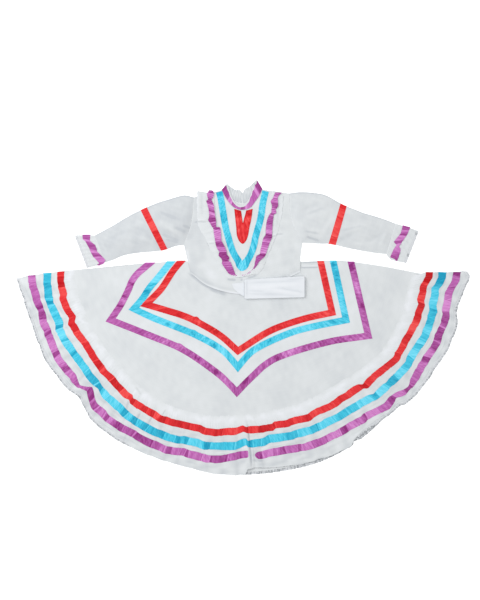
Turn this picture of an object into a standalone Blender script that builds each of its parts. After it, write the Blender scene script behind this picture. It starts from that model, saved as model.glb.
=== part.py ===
"""Child's two-piece folklorico dress, laid flat face up.

Units: the tables and sizes are millimetres, turned into metres where a solid is made.
X runs to the right, Y towards the collar and Z up. The surface it lies on is Z = 0.
Left and right are the sides of the picture, with the dress seen from above.

Each cloth piece is a net of points in plan with a height at each point, raised by its wall.
A piece that lies on another is made from that piece's own points, moved up.
"""

import math

import bmesh
import bpy
import numpy as np

MM = 0.001

# Walls, gaps and ribbon widths
CLOTH = 1.2
RIBBON = 1.0
LACE = 1.0
TUBE_ROOM = 0.5
GAP = 0.3
RIBBON_WIDTH = 22.0
LACE_WIDTH = 9.0
SCALLOP = 1.2

# Steps in which a smooth curve is drawn between two of its given points
CURVE_STEPS = 12

# Heights of the undersides of the stacked layers
BACK_Z = 0.0
FRONT_Z = BACK_Z + CLOTH + GAP
OVER_FRONT_Z = FRONT_Z + CLOTH + GAP
BLOUSE_RISE = OVER_FRONT_Z
FLAT_TUBE = 2 * CLOTH + TUBE_ROOM

# Circle skirt folded in half: the waist centre and the ends of its straight top edge
WAIST_CENTRE = (0.0, 204.6)
WAIST_HALF = 108.0
WAIST_Y = 191.0
WAIST_SAG = 5.0
WAISTBAND_HEIGHT = 25.0
BACK_MIDDLE = {"distance": 300.0, "direction": (180.6, 359.8)}
BACK_COLUMNS = 49
WAISTBAND_COLUMNS = 17
HEADING_DEPTH = 40.0

# The panels end a little inside the line on which the flounce is sewn
PANEL_TUCK = 3.0

# Soft folds of the front panel: height, number, and the distances between which they rise and die out
SKIRT_FOLD = 2.6
SKIRT_FOLDS = 11
SKIRT_FOLD_RISE = (215.0, 305.0)
SKIRT_FOLD_FALL = (382.0, 462.0)
SKIRT_FOLD_DRIFT = 1.2

# Distance of each line of the flounce from the waist centre, by compass direction in degrees
FLOUNCE = (
    ("direction", "red", "blue", "violet", "hem", "back_hem"),
    (184, 567, 607, 659, 700, 688),
    (190, 569, 616, 654, 691, 680),
    (196, 563, 608, 645, 687, 676),
    (208, 553, 597, 642, 682, 672),
    (220, 547, 591, 636, 670, 660),
    (232, 546, 593, 638, 677, 666),
    (244, 545, 591, 628, 666, 660),
    (256, 535, 577, 616, 656, 656),
    (268, 521, 564, 600, 641, 659),
    (280, 516, 552, 595, 637, 659),
    (292, 518, 559, 603, 645, 664),
    (304, 520, 563, 608, 650, 659),
    (316, 537, 581, 628, 661, 651),
    (328, 557, 598, 640, 678, 668),
    (340, 562, 606, 648, 689, 679),
    (347, 561, 607, 646, 690, 680),
    (353, 565, 606, 654, 692, 682),
    (357, 576, 617, 657, 699, 688),
)
# Where the straight top edge cuts each line of the flounce, at the left and at the right
END_DIRECTION = {
    "panel": (182.9, 356.0),
    "heading": (182.7, 355.8),
    "red": (183.0, 356.9),
    "blue": (183.2, 357.1),
    "violet": (183.6, 357.3),
    "hem": (184.1, 357.6),
}
# Rows of the front flounce from its heading to its hem: which ends it has, which line it follows and how
# far out from it, which push of the large folds it takes, its share of their lift, and its foot
HALF_RIBBON = 0.5 * RIBBON_WIDTH
FLOUNCE_ROWS = (
    ("ends", "line", "offset", "push", "lift", "foot"),
    ("heading", "red", -HALF_RIBBON - HEADING_DEPTH, "red", 0.70, OVER_FRONT_Z),
    ("heading", "red", -HALF_RIBBON - 0.5 * HEADING_DEPTH, "red", 0.60, OVER_FRONT_Z),
    ("red", "red", -HALF_RIBBON, "red", 0.50, OVER_FRONT_Z),
    ("red", "red", HALF_RIBBON, "red", 0.55, OVER_FRONT_Z),
    ("blue", "blue", -HALF_RIBBON, "blue", 0.80, FRONT_Z),
    ("blue", "blue", HALF_RIBBON, "blue", 0.85, FRONT_Z),
    ("violet", "violet", -HALF_RIBBON, "violet", 0.92, FRONT_Z),
    ("violet", "violet", HALF_RIBBON, "violet", 0.96, FRONT_Z),
    ("hem", "hem", -LACE_WIDTH - GAP, "hem", 1.0, FRONT_Z),
)
RIBBON_ROW = {"red": 2, "blue": 4, "violet": 6}

# Gathers of the flounce: the small pleats and the large folds seen in it
PLEATS = 40
PLEAT_LIFT = 3.2
PLEAT_CREST = 0.80
PLEAT_STEP = 1.6
PLEAT_SPAN = (183.6, 357.2)
# How much the pleats' widths and heights vary, and how fast from one to the next
WIDTH_WAVE = {"share": 0.16, "pace": 2.3}
LIFT_WAVES = ({"share": 0.30, "pace": 1.7}, {"share": 0.16, "pace": 4.1})
STEP_WAVE = {"pace": 3.1, "late": 0.6}
PUSHES = ("red", "blue", "violet", "hem")
BIG_FOLDS = (
    {"start": 216.2, "crest": 219.0, "end": 222.9, "lift": 7.0, "red": 0, "blue": 0, "violet": -17, "hem": -9},
    {"start": 240.2, "crest": 243.4, "end": 244.2, "lift": 5.0, "red": 0, "blue": 2, "violet": 2, "hem": 1},
    {"start": 268.6, "crest": 271.6, "end": 272.5, "lift": 7.0, "red": 0, "blue": 1, "violet": 3, "hem": 3},
    {"start": 313.4, "crest": 317.2, "end": 318.2, "lift": 6.0, "red": 0, "blue": -3, "violet": -8, "hem": -6},
    {"start": 351.6, "crest": 354.0, "end": 355.0, "lift": 5.0, "red": 0, "blue": -3, "violet": -2, "hem": -2},
)

# Star ribbons on the skirt front: centre lines from the left of the top edge round to the right
STAR = {
    "red": (
        ((-195, 208), (-301, 73)),
        ((-301, 73), (-242, 56), (-167, 31), (-76, -19), (-16, -71)),
        ((-16, -71), (65, -19), (119, 6), (198, 31), (276, 48)),
        ((276, 48), (240, 208)),
    ),
    "blue": (
        ((-228, 206), (-339, 60)),
        ((-339, 60), (-277, 31), (-152, -19), (-65, -68), (-16, -121)),
        ((-16, -121), (34, -68), (136, -19), (215, 6), (310, 33)),
        ((310, 33), (282, 209)),
    ),
    "violet": (
        ((-294, 200), (-411, 25)),
        ((-411, 25), (-299, -19), (-184, -68), (-74, -143), (-19, -194)),
        ((-19, -194), (34, -143), (103, -93), (260, -43), (381, -20)),
        ((381, -20), (330, 206)),
    ),
}
STAR_SPANS = (8, 12, 12, 8)
# Rows of the panel's net between the outermost star ribbon and the rim
OUTER_ROWS = (0.35, 0.7, 1.0)
# Direction from the waist centre in which the star's corners and ends lead to the panel's rim
STAR_DIRECTIONS = (182.9, 205.0, 268.0, 330.0, 356.0)

# Blouse outline
FRONT_NECK = (
    (-67, 427), (-56, 406), (-42, 386), (-25, 371), (-3, 365), (22, 371), (37, 388), (51, 408), (61, 429),
)
BACK_NECK = (
    (-67, 427), (-54, 411), (-37, 399), (-20, 390), (-1, 386), (17, 391), (33, 399), (50, 412), (61, 429),
)
ARMHOLE = {
    "left": ((-152, 405), (-160, 326), (-183, 257)),
    "right": ((143, 417), (150, 335), (184, 264)),
}
SIDE = {
    "left": ((-183, 257), (-174, 217), (-164, 174)),
    "right": ((184, 264), (178, 223), (177, 174)),
}
HEM = ((-164, 174), (-115, 140), (-59, 116), (0, 105), (59, 115), (121, 146), (177, 174))
BODY_ROWS = 7
SHOULDER_POINTS = 5
# The blouse steps up over the skirt from this height in the picture; its trim does so earlier
RISE_FROM_Y = 252.0
RISE_RUN = 17.0
TRIM_LEAD = 22.0

# Standing collar laid flat
COLLAR_FRONT_TOP = (
    (-50, 447), (-42, 428), (-34, 406), (-23, 388), (-8, 380), (9, 388), (20, 405), (29, 428), (43, 459),
)
COLLAR_BACK_TOP = {
    "left": ((-50, 447), (-37, 437), (-22, 428), (-11, 428), (-1, 418)),
    "right": ((-1, 418), (6, 431), (20, 439), (31, 450), (43, 459)),
}
COLLAR_SPANS = 12
COLLAR_RIBBON = (0.16, 0.74)

# Trim on the blouse front
YOKE_LINE = (
    (-76, 422), (-72, 403), (-68, 378), (-64, 353), (-60, 329), (-54, 304), (-46, 279), (-37, 254), (-26, 229),
    (-4, 198), (16, 227), (29, 254), (36, 279), (45, 304), (52, 329), (57, 353), (60, 378), (65, 403), (70, 424),
)
YOKE_TIP = 9
YOKE_POINTS = 19
KEYHOLE = {
    "outer": ((-25, 369), (-23, 340), (-20, 312), (-15, 283), (-4, 263), (7, 283), (15, 312), (20, 340), (25, 369)),
    "inner": ((-6, 363), (-4, 348), (-2, 333), (-0.9, 320), (0, 318), (0.9, 320), (3, 333), (6, 348), (10, 364)),
}
# The gathered ruffle: its ribbon's centre line and half width, and how far it reaches inward and outward
RUFFLE_LINE = (
    ("x", "y", "ribbon", "heading", "flare"),
    (-101, 418, 10, 12, 40),
    (-103, 403, 10, 12, 40),
    (-101, 378, 10, 12, 42),
    (-98, 353, 10, 12, 45),
    (-94, 329, 10, 12, 46),
    (-83, 304, 10, 12, 44),
    (-79, 279, 10, 13, 36),
    (-74, 254, 10, 14, 30),
    (-65, 229, 10, 14, 27),
    (-55, 205, 10, 13, 27),
    (-42, 183, 9, 12, 25),
    (-27, 169, 8, 10, 22),
    (-8, 166, 7, 9, 8),
    (12, 169, 6, 8, 7),
    (27, 174, 7, 9, 11),
    (40, 182, 9, 12, 20),
    (48, 205, 10, 13, 20),
    (57, 229, 10, 14, 21),
    (67, 254, 10, 14, 21),
    (74, 279, 10, 13, 26),
    (78, 304, 10, 12, 32),
    (82, 329, 10, 12, 32),
    (90, 353, 10, 12, 31),
    (96, 378, 10, 12, 28),
    (98, 403, 10, 12, 28),
    (106, 420, 10, 12, 24),
)
RUFFLE_PARTS = (0.5, 0.35, 0.5, 1.0)
RUFFLE_WAVES = 28
RUFFLE_LIFT = 2.6
RUFFLE_UNEVEN = {"share": 0.3, "pace": 1.9}
FLARE_LEAST = 1.0

# Sleeves: matching points on the upper and lower edges from the armhole to the wrist, and the loft there
SLEEVE = {
    "left": (
        ("upper", "lower", "loft"),
        ((-152, 405), (-183, 257), 2),
        ((-183, 411), (-195, 256), 7),
        ((-226, 400), (-211, 253), 9),
        ((-267, 387), (-223, 249), 9),
        ((-298, 374), (-234, 245), 8),
        ((-317, 365), (-254, 240), 8),
        ((-344, 352), (-288, 236), 8),
        ((-369, 338), (-325, 233), 8),
        ((-400, 319), (-369, 225), 7),
        ((-431, 302), (-400, 212), 4),
        ((-459, 287), (-428, 203), 2),
    ),
    "right": (
        ("upper", "lower", "loft"),
        ((143, 417), (184, 264), 2),
        ((177, 421), (202, 263), 7),
        ((217, 419), (220, 262), 9),
        ((257, 411), (242, 261), 9),
        ((302, 386), (265, 261), 8),
        ((321, 377), (287, 257), 8),
        ((347, 367), (310, 251), 8),
        ((375, 356), (338, 245), 8),
        ((406, 347), (375, 238), 7),
        ((440, 336), (412, 232), 4),
        ((471, 324), (443, 229), 2),
    ),
}
ARMHOLE_BOW = (1.0, 0.7, 0.4, 0.2)
# Long soft ripples of a sleeve's upper skin: height, waves across, turn from one line to the next, and the
# lofts between which they come in
SLEEVE_RIPPLE = {"height": 0.9, "waves": 1.5, "turn": 1.3, "loft": (5.0, 7.0)}
ACROSS_POINTS = 7
SLEEVE_BAND = (4, 5)
SLEEVE_SPANS = 8
SLEEVE_BULGE = 0.8
# Distance of the flat part of a tube's skin from its folded edge, for the outer skin
FOLD_MARGIN = 1.2

# Gathered cuffs: the same, at the two edges of the ribbon and where the lace begins
CUFF = {
    "left": (
        ("upper", "lower"),
        ((-474, 288), (-434, 201)),
        ((-495, 288), (-452, 196)),
        ((-513, 288), (-474, 192)),
    ),
    "right": (
        ("upper", "lower"),
        ((496, 317), (456, 212)),
        ((518, 310), (478, 206)),
        ((537, 303), (498, 203)),
    ),
}
CUFF_WAVES = 8
CUFF_LIFT = (0.6, 2.0, 2.8, 3.4)
CUFF_UNEVEN = {"share": 0.25, "pace": 2.1}

# Folded sash, and the turned end of it that shows at its left
SASH = {"left": 4.0, "right": 192.0, "bottom": 91.0, "top": 157.0, "corner": 5.0}
SASH_LAYERS = 4
SASH_LAYER = 1.8
SASH_GROOVE = 0.7
# One layer of the folded sash from its foot up: share of its height, and whether it is drawn in there
SASH_RINGS = ((0.0, True), (0.3, False), (0.75, False))
SASH_TOP = {"rise": 0.3, "inset": 2.5}
SASH_END = {
    "near": ((3.4, 142), (3.4, 119), (3.4, 97)),
    "far": ((-34, 137), (-28, 122), (-14, 108)),
}

COLOURS = {
    "white_poplin": (0.74, 0.77, 0.79, 1.0),
    "white_sash_cotton": (0.83, 0.85, 0.87, 1.0),
    "white_lace": (0.70, 0.72, 0.74, 1.0),
    "red_satin": (0.70, 0.05, 0.06, 1.0),
    "blue_satin": (0.12, 0.59, 0.77, 1.0),
    "violet_satin": (0.48, 0.16, 0.42, 1.0),
}


def column(table, name):
    """One named column of a table whose first row holds the names."""
    at = table[0].index(name)
    return np.array([row[at] for row in table[1:]], float)


def clear_scene():
    """Remove whatever the scene holds."""
    for thing in list(bpy.data.objects):
        bpy.data.objects.remove(thing, do_unlink=True)


def make_materials():
    """One plain material for each cloth."""
    made = {}
    for name, colour in COLOURS.items():
        material = bpy.data.materials.new(name)
        material.use_nodes = True
        shader = material.node_tree.nodes["Principled BSDF"]
        shader.inputs["Base Color"].default_value = colour
        shader.inputs["Roughness"].default_value = 0.35 if "satin" in name else 0.85
        made[name] = material
    return made


def place(name, mesh, material):
    """Put a finished mesh in the scene as one named piece of cloth."""
    mesh.materials.append(MATERIALS[material])
    thing = bpy.data.objects.new(name, mesh)
    COLLECTION.objects.link(thing)
    return thing


def net_faces(rows, columns):
    """Triangles of a net of points, every cell cut along the same diagonal."""
    faces = []
    for r in range(rows - 1):
        for c in range(columns - 1):
            a = r * columns + c
            b, d, e = a + 1, a + columns + 1, a + columns
            faces += [(a, b, d), (a, d, e)]
    return faces


def lay(name, plan, under, wall, material):
    """A cloth piece: a surface through a net of points, raised straight up by its wall."""
    rows, columns = under.shape
    points = np.dstack([plan, under]).reshape(-1, 3) * MM
    mesh = bpy.data.meshes.new(name)
    mesh.from_pydata([tuple(p) for p in points], [], net_faces(rows, columns))
    shape = bmesh.new()
    shape.from_mesh(mesh)
    made = bmesh.ops.extrude_face_region(shape, geom=shape.faces[:], use_keep_orig=True)
    raised = [g for g in made["geom"] if isinstance(g, bmesh.types.BMVert)]
    bmesh.ops.translate(shape, verts=raised, vec=(0.0, 0.0, wall * MM))
    bmesh.ops.recalc_face_normals(shape, faces=shape.faces[:])
    shape.to_mesh(mesh)
    shape.free()
    return place(name, mesh, material)


def along(points, count):
    """Points spaced evenly by length on a broken line."""
    points = np.array(points, float)
    steps = np.hypot(*np.diff(points, axis=0).T)
    run = np.concatenate([[0.0], np.cumsum(steps)])
    at = np.linspace(0.0, run[-1], count)
    return np.column_stack([np.interp(at, run, points[:, k]) for k in (0, 1)])


def smooth_along(points, count):
    """Points spaced evenly by length on a smooth curve through the given ones."""
    points = np.array(points, float)
    padded = np.vstack([2 * points[0] - points[1], points, 2 * points[-1] - points[-2]])
    curve = []
    for p0, p1, p2, p3 in zip(padded, padded[1:], padded[2:], padded[3:]):
        for t in np.linspace(0.0, 1.0, CURVE_STEPS, endpoint=False):
            curve.append(0.5 * (
                2 * p1 + (p2 - p0) * t + (2 * p0 - 5 * p1 + 4 * p2 - p3) * t**2
                + (3 * p1 - p0 - 3 * p2 + p3) * t**3
            ))
    curve.append(points[-1])
    return along(curve, count)


def offset_line(line, distance, ends=None):
    """A line moved sideways to its left by a distance, mitred at its corners.

    ends is the direction in which the two end points slide, or None to move them square to the line.
    """
    line = np.array(line, float)
    steps = np.diff(line, axis=0)
    steps /= np.linalg.norm(steps, axis=1)[:, None]
    normals = np.column_stack([-steps[:, 1], steps[:, 0]])
    joints = np.vstack([normals[:1], normals[:-1] + normals[1:], normals[-1:]])
    joints /= np.linalg.norm(joints, axis=1)[:, None]
    square = np.vstack([normals[:1], normals])
    moved = joints / np.sum(joints * square, axis=1)[:, None]
    if ends is not None:
        for k in (0, -1):
            way = np.array(ends, float)
            moved[k] = way / np.dot(way, normals[k])
    return line + distance * moved


def polar(direction, distance):
    """Points at compass directions and distances from the waist centre."""
    angle = np.radians(direction)
    return np.stack([
        WAIST_CENTRE[0] + distance * np.cos(angle),
        WAIST_CENTRE[1] + distance * np.sin(angle),
    ], axis=-1)


def patch(top, bottom, left, right):
    """A net filling the space between four edges, blended from all of them."""
    u = np.linspace(0.0, 1.0, len(top))[None, :, None]
    v = np.linspace(0.0, 1.0, len(left))[:, None, None]
    top, bottom = top[None], bottom[None]
    left, right = left[:, None], right[:, None]
    corners = (
        (1 - u) * (1 - v) * top[:, :1] + u * (1 - v) * top[:, -1:]
        + (1 - u) * v * bottom[:, :1] + u * v * bottom[:, -1:]
    )
    return (1 - v) * top + v * bottom + (1 - u) * left + u * right - corners


def gathers(count, uneven):
    """Height of small gathers at each point of a line: nothing and a crest by turns, the crests uneven."""
    number = np.arange(count)
    return np.where(number % 2, 1.0, 0.0) * (1.0 + uneven["share"] * np.sin(uneven["pace"] * number))


# Skirt


def flounce_directions():
    """Where the folds of the flounce run, as shares of the half circle, and how much each lifts and pushes.

    Small pleats fill the spaces between the big folds. Each has a long slope up to its crest and a short
    drop to the next. Their widths and heights vary by slow waves, so that no two neighbours match.
    """
    edges = [PLEAT_SPAN[0]]
    for fold in BIG_FOLDS:
        edges += [fold["start"], fold["end"]]
    edges.append(PLEAT_SPAN[1])
    spans = list(zip(edges[::2], edges[1::2]))
    free = sum(b - a for a, b in spans)
    columns = []
    number = 0
    for index, (a, b) in enumerate(spans):
        count = max(1, round(PLEATS * (b - a) / free))
        wide = (b - a) / count
        for k in range(count):
            begin = a + k * wide + (wobble(number) * wide if k else 0.0)
            end = a + (k + 1) * wide + (wobble(number + 1) * wide if k < count - 1 else 0.0)
            lift = PLEAT_LIFT * (1.0 + sum(w["share"] * math.sin(w["pace"] * number) for w in LIFT_WAVES))
            step = PLEAT_STEP * math.sin(STEP_WAVE["pace"] * number + STEP_WAVE["late"])
            columns.append((begin, 0.0, (step,) * len(PUSHES)))
            columns.append((begin + PLEAT_CREST * (end - begin), lift, (step,) * len(PUSHES)))
            number += 1
        if index < len(BIG_FOLDS):
            fold = BIG_FOLDS[index]
            columns.append((fold["start"], 0.0, (0.0,) * len(PUSHES)))
            columns.append((fold["crest"], fold["lift"], tuple(fold[line] for line in PUSHES)))
    columns.append((PLEAT_SPAN[1], 0.0, (0.0,) * len(PUSHES)))
    at, lift, push = zip(*columns)
    share = (np.array(at) - PLEAT_SPAN[0]) / (PLEAT_SPAN[1] - PLEAT_SPAN[0])
    return share, np.array(lift), dict(zip(PUSHES, np.array(push).T))


def wobble(number):
    """Share of its width by which one pleat starts early or late."""
    return WIDTH_WAVE["share"] * math.sin(WIDTH_WAVE["pace"] * number)


def distance_at(direction, line):
    """How far a line of the flounce lies from the waist centre in given directions."""
    return np.interp(direction, column(FLOUNCE, "direction"), column(FLOUNCE, line))


def flounce_line(share, line, distance_from, extra):
    """One line of the flounce: its directions run between its own two ends, its distance comes from the table."""
    left, right = END_DIRECTION[line]
    direction = left + (right - left) * share
    return polar(direction, distance_at(direction, distance_from) + extra)


def flounce_net():
    """The gathered flounce of the front: plan and undersides, with its pleats and big folds."""
    share, lift, push = flounce_directions()
    rows = [dict(zip(FLOUNCE_ROWS[0], row)) for row in FLOUNCE_ROWS[1:]]
    plan = np.array([flounce_line(share, r["ends"], r["line"], r["offset"] + push[r["push"]]) for r in rows])
    under = np.array([r["foot"] + lift * r["lift"] for r in rows])
    return plan, under


def split_spans(values):
    """Values with one more put half way between each two."""
    values = np.array(values, float)
    out = np.empty((2 * len(values) - 1,) + values.shape[1:])
    out[::2] = values
    out[1::2] = 0.5 * (values[1:] + values[:-1])
    return out


def build_flounce():
    """Front and back flounces, the three ribbons on the front one, and the lace at both hems."""
    plan, under = flounce_net()
    lay("flounce_front", plan, under, CLOTH, "white_poplin")
    over = under + CLOTH + GAP
    for name, row in RIBBON_ROW.items():
        lay(f"flounce_ribbon_{name}", plan[row:row + 2], over[row:row + 2], RIBBON, f"{name}_satin")
    share, _, push = flounce_directions()
    hem = split_spans(flounce_line(share, "hem", "hem", push["hem"] - LACE_WIDTH))
    rim = split_spans(flounce_line(share, "hem", "hem", push["hem"]))
    scallop = SCALLOP * np.where(np.arange(len(rim)) % 2, 1.0, -1.0)
    rim += (rim - hem) / LACE_WIDTH * scallop[:, None]
    height = split_spans(under[-1])
    lay("hem_lace_front", np.array([hem, rim]), np.array([height, height]), LACE, "white_lace")

    back = np.linspace(0.0, 1.0, BACK_COLUMNS)
    rows = (("panel", "red", GAP - PANEL_TUCK), ("violet", "violet", 0.0), ("hem", "back_hem", -LACE_WIDTH - GAP))
    plan = np.array([flounce_line(back, line, of, extra) for line, of, extra in rows])
    lay("flounce_back", plan, np.full(plan.shape[:2], BACK_Z), CLOTH, "white_poplin")
    plan = np.array([flounce_line(back, "hem", "back_hem", extra) for extra in (-LACE_WIDTH, 0.0)])
    lay("hem_lace_back", plan, np.full(plan.shape[:2], BACK_Z), LACE, "white_lace")


def star_line(colour):
    """Centre line of one star ribbon, each of its four arms divided into its own number of spans."""
    arms = [smooth_along(arm, n + 1) for arm, n in zip(STAR[colour], STAR_SPANS)]
    return np.vstack([arms[0]] + [arm[1:] for arm in arms[1:]])


def rim_line(extra):
    """The panel's rim, with its points led out from the ends and corners of the star."""
    direction = [np.linspace(a, b, n + 1) for a, b, n in zip(STAR_DIRECTIONS, STAR_DIRECTIONS[1:], STAR_SPANS)]
    direction = np.concatenate([direction[0]] + [d[1:] for d in direction[1:]])
    return polar(direction, distance_at(direction, "red") + extra)


def waist_line(count):
    """The gathered waist edge of a panel: straight but for a little sag."""
    u = np.linspace(-1.0, 1.0, count)
    return np.column_stack([WAIST_HALF * u, WAIST_Y - WAIST_SAG * (1 - u**2)])


def skirt_folds(plan):
    """Soft folds of the front panel: waves by direction, fading out under the blouse and under the flounce."""
    away = plan - np.array(WAIST_CENTRE)
    distance = np.hypot(away[..., 0], away[..., 1])
    direction = np.arctan2(-away[..., 1], away[..., 0])
    wave = 0.5 + 0.5 * np.sin(SKIRT_FOLDS * direction + SKIRT_FOLD_DRIFT * np.sin(3 * direction))
    rise = np.interp(distance, SKIRT_FOLD_RISE, (0.0, 1.0))
    fall = np.interp(distance, SKIRT_FOLD_FALL, (1.0, 0.0))
    return SKIRT_FOLD * wave * rise * fall


def skirt_front_net():
    """The front panel's net: waist, both edges of each star ribbon, then out to the rim."""
    rows = []
    for colour in RIBBON_ROW:
        line = star_line(colour)
        rows.append(offset_line(line, HALF_RIBBON, ends=(1.0, 0.0)))
        rows.append(offset_line(line, -HALF_RIBBON, ends=(1.0, 0.0)))
    waist = waist_line(len(rows[0]))
    rim = rim_line(-PANEL_TUCK)
    inside = [waist, 0.5 * (waist + rows[0])]
    outside = [rows[-1] + (rim - rows[-1]) * part for part in OUTER_ROWS]
    return np.array(inside + rows + outside)


def build_skirt():
    """Front panel with its star ribbons, back panel and waistband."""
    plan = skirt_front_net()
    under = FRONT_Z + skirt_folds(plan)
    lay("skirt_front", plan, under, CLOTH, "white_poplin")
    over = under + CLOTH + GAP
    for name, row in RIBBON_ROW.items():
        lay(f"star_ribbon_{name}", plan[row:row + 2], over[row:row + 2], RIBBON, f"{name}_satin")
    share = np.linspace(0.0, 1.0, BACK_COLUMNS)
    rim = flounce_line(share, "panel", "red", -PANEL_TUCK)
    middle = polar(np.linspace(*BACK_MIDDLE["direction"], BACK_COLUMNS), BACK_MIDDLE["distance"])
    plan = np.array([waist_line(BACK_COLUMNS), middle, rim])
    lay("skirt_back", plan, np.full(plan.shape[:2], BACK_Z), CLOTH, "white_poplin")
    band = waist_line(WAISTBAND_COLUMNS) + np.array([0.0, GAP])
    top = band + np.array([0.0, WAISTBAND_HEIGHT - GAP])
    lay("waistband", np.array([band, top]), np.full((2, WAISTBAND_COLUMNS), BACK_Z), 2 * CLOTH + GAP, "white_poplin")


# Blouse


def rise(y, lead=0.0):
    """How far the blouse is lifted at a height up the picture: it steps up on to the skirt and its band."""
    return BLOUSE_RISE * np.clip((RISE_FROM_Y + lead - y) / RISE_RUN, 0.0, 1.0)


def blouse_net(neck):
    """Net of one side of the blouse body for a given neck edge: shoulders to underarm, then down to the hem."""
    left, right = ARMHOLE["left"], ARMHOLE["right"]
    shoulders = [along((left[0], neck[0]), SHOULDER_POINTS), smooth_along(neck, COLLAR_SPANS + 1),
                 along((neck[-1], right[0]), SHOULDER_POINTS)]
    top = np.vstack([shoulders[0], shoulders[1][1:], shoulders[2][1:]])
    underarm = along((left[-1], right[-1]), len(top))
    hem = smooth_along(HEM, len(top))
    upper = patch(top, underarm, smooth_along(left, BODY_ROWS), smooth_along(right, BODY_ROWS))
    lower = patch(underarm, hem, along(SIDE["left"], BODY_ROWS), along(SIDE["right"], BODY_ROWS))
    return np.vstack([upper, lower[1:]])


def build_body():
    """Blouse front and the two halves of its back, which meet at the centre-back opening."""
    plan = blouse_net(FRONT_NECK)
    lay("blouse_front", plan, FRONT_Z + rise(plan[..., 1]), CLOTH, "white_poplin")
    plan = blouse_net(BACK_NECK)
    under = BACK_Z + rise(plan[..., 1])
    middle = plan.shape[1] // 2
    halves = (("left", slice(0, middle + 1), -GAP / 2), ("right", slice(middle, None), GAP / 2))
    for side, columns, shift in halves:
        half = plan[:, columns].copy()
        half[:, -1 if side == "left" else 0, 0] += shift
        lay(f"blouse_back_{side}", half, under[:, columns], CLOTH, "white_poplin")


def build_collar():
    """Standing collar laid flat: the front band with its ribbon over the two halves of the back band."""
    seam = smooth_along(FRONT_NECK, COLLAR_SPANS + 1)
    top = smooth_along(COLLAR_FRONT_TOP, COLLAR_SPANS + 1)
    foot = seam + GAP * (top - seam) / np.linalg.norm(top - seam, axis=1)[:, None]
    shares = (0.0,) + COLLAR_RIBBON + (1.0,)
    plan = np.array([foot + (top - foot) * share for share in shares])
    under = np.full(plan.shape[:2], FRONT_Z)
    lay("collar_front", plan, under, CLOTH, "white_poplin")
    lay("collar_ribbon", plan[1:3], under[1:3] + CLOTH + GAP, RIBBON, "violet_satin")
    neck = smooth_along(BACK_NECK, COLLAR_SPANS + 1)
    middle = COLLAR_SPANS // 2
    for side, part, shift in (("left", neck[:middle + 1], -GAP), ("right", neck[middle:], GAP)):
        top = smooth_along(COLLAR_BACK_TOP[side], middle + 1)
        foot = part + GAP * (top - part) / np.linalg.norm(top - part, axis=1)[:, None]
        plan = np.array([foot, 0.5 * (foot + top), top])
        plan[:, -1 if side == "left" else 0, 0] = neck[middle, 0] + shift
        lay(f"collar_back_{side}", plan, np.full(plan.shape[:2], BACK_Z), CLOTH, "white_poplin")


def trim_height(plan):
    """Underside of trim on the blouse front: it steps up earlier than the cloth it lies on."""
    return OVER_FRONT_Z + rise(plan[..., 1], TRIM_LEAD)


def build_yoke():
    """Blue V, red keyhole facing and the gathered ruffle with its violet ribbon."""
    line = np.vstack([smooth_along(YOKE_LINE[:YOKE_TIP + 1], YOKE_POINTS),
                      smooth_along(YOKE_LINE[YOKE_TIP:], YOKE_POINTS)[1:]])
    plan = np.array([offset_line(line, HALF_RIBBON), offset_line(line, -HALF_RIBBON)])
    lay("yoke_ribbon", plan, trim_height(plan), RIBBON, "blue_satin")

    plan = np.array([KEYHOLE["inner"], KEYHOLE["outer"]], float)
    lay("keyhole_ribbon", plan, trim_height(plan), RIBBON, "red_satin")

    count = 2 * RUFFLE_WAVES + 1
    line = smooth_along(np.column_stack([column(RUFFLE_LINE, "x"), column(RUFFLE_LINE, "y")]), count)
    known = np.linspace(0.0, 1.0, len(RUFFLE_LINE) - 1)
    here = np.linspace(0.0, 1.0, count)
    wide, heading, flare = (
        np.interp(here, known, column(RUFFLE_LINE, edge))[:, None] for edge in ("ribbon", "heading", "flare")
    )
    outward = line - offset_line(line, 1.0)
    plan = np.array([line + reach * outward for reach in (-heading, -wide, wide, np.maximum(flare, wide + FLARE_LEAST))])
    wave = gathers(count, RUFFLE_UNEVEN)
    under = trim_height(plan) + RUFFLE_LIFT * np.array(RUFFLE_PARTS)[:, None] * wave[None]
    lay("yoke_ruffle", plan, under, CLOTH, "white_poplin")
    lay("ruffle_ribbon", plan[1:3], under[1:3] + CLOTH + GAP, RIBBON, "violet_satin")


def at_distances(line, distances):
    """Points on a broken line at given distances from its start."""
    run = np.concatenate([[0.0], np.cumsum(np.hypot(*np.diff(line, axis=0).T))])
    return np.column_stack([np.interp(distances, run, line[:, k]) for k in (0, 1)])


def straight_lines(table):
    """For each row of a table, a line of points from its upper point to its lower one."""
    share = np.linspace(0.0, 1.0, ACROSS_POINTS)[:, None]
    pairs = [np.array(row[:2], float) for row in table[1:]]
    return [upper + (lower - upper) * share for upper, lower in pairs]


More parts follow.
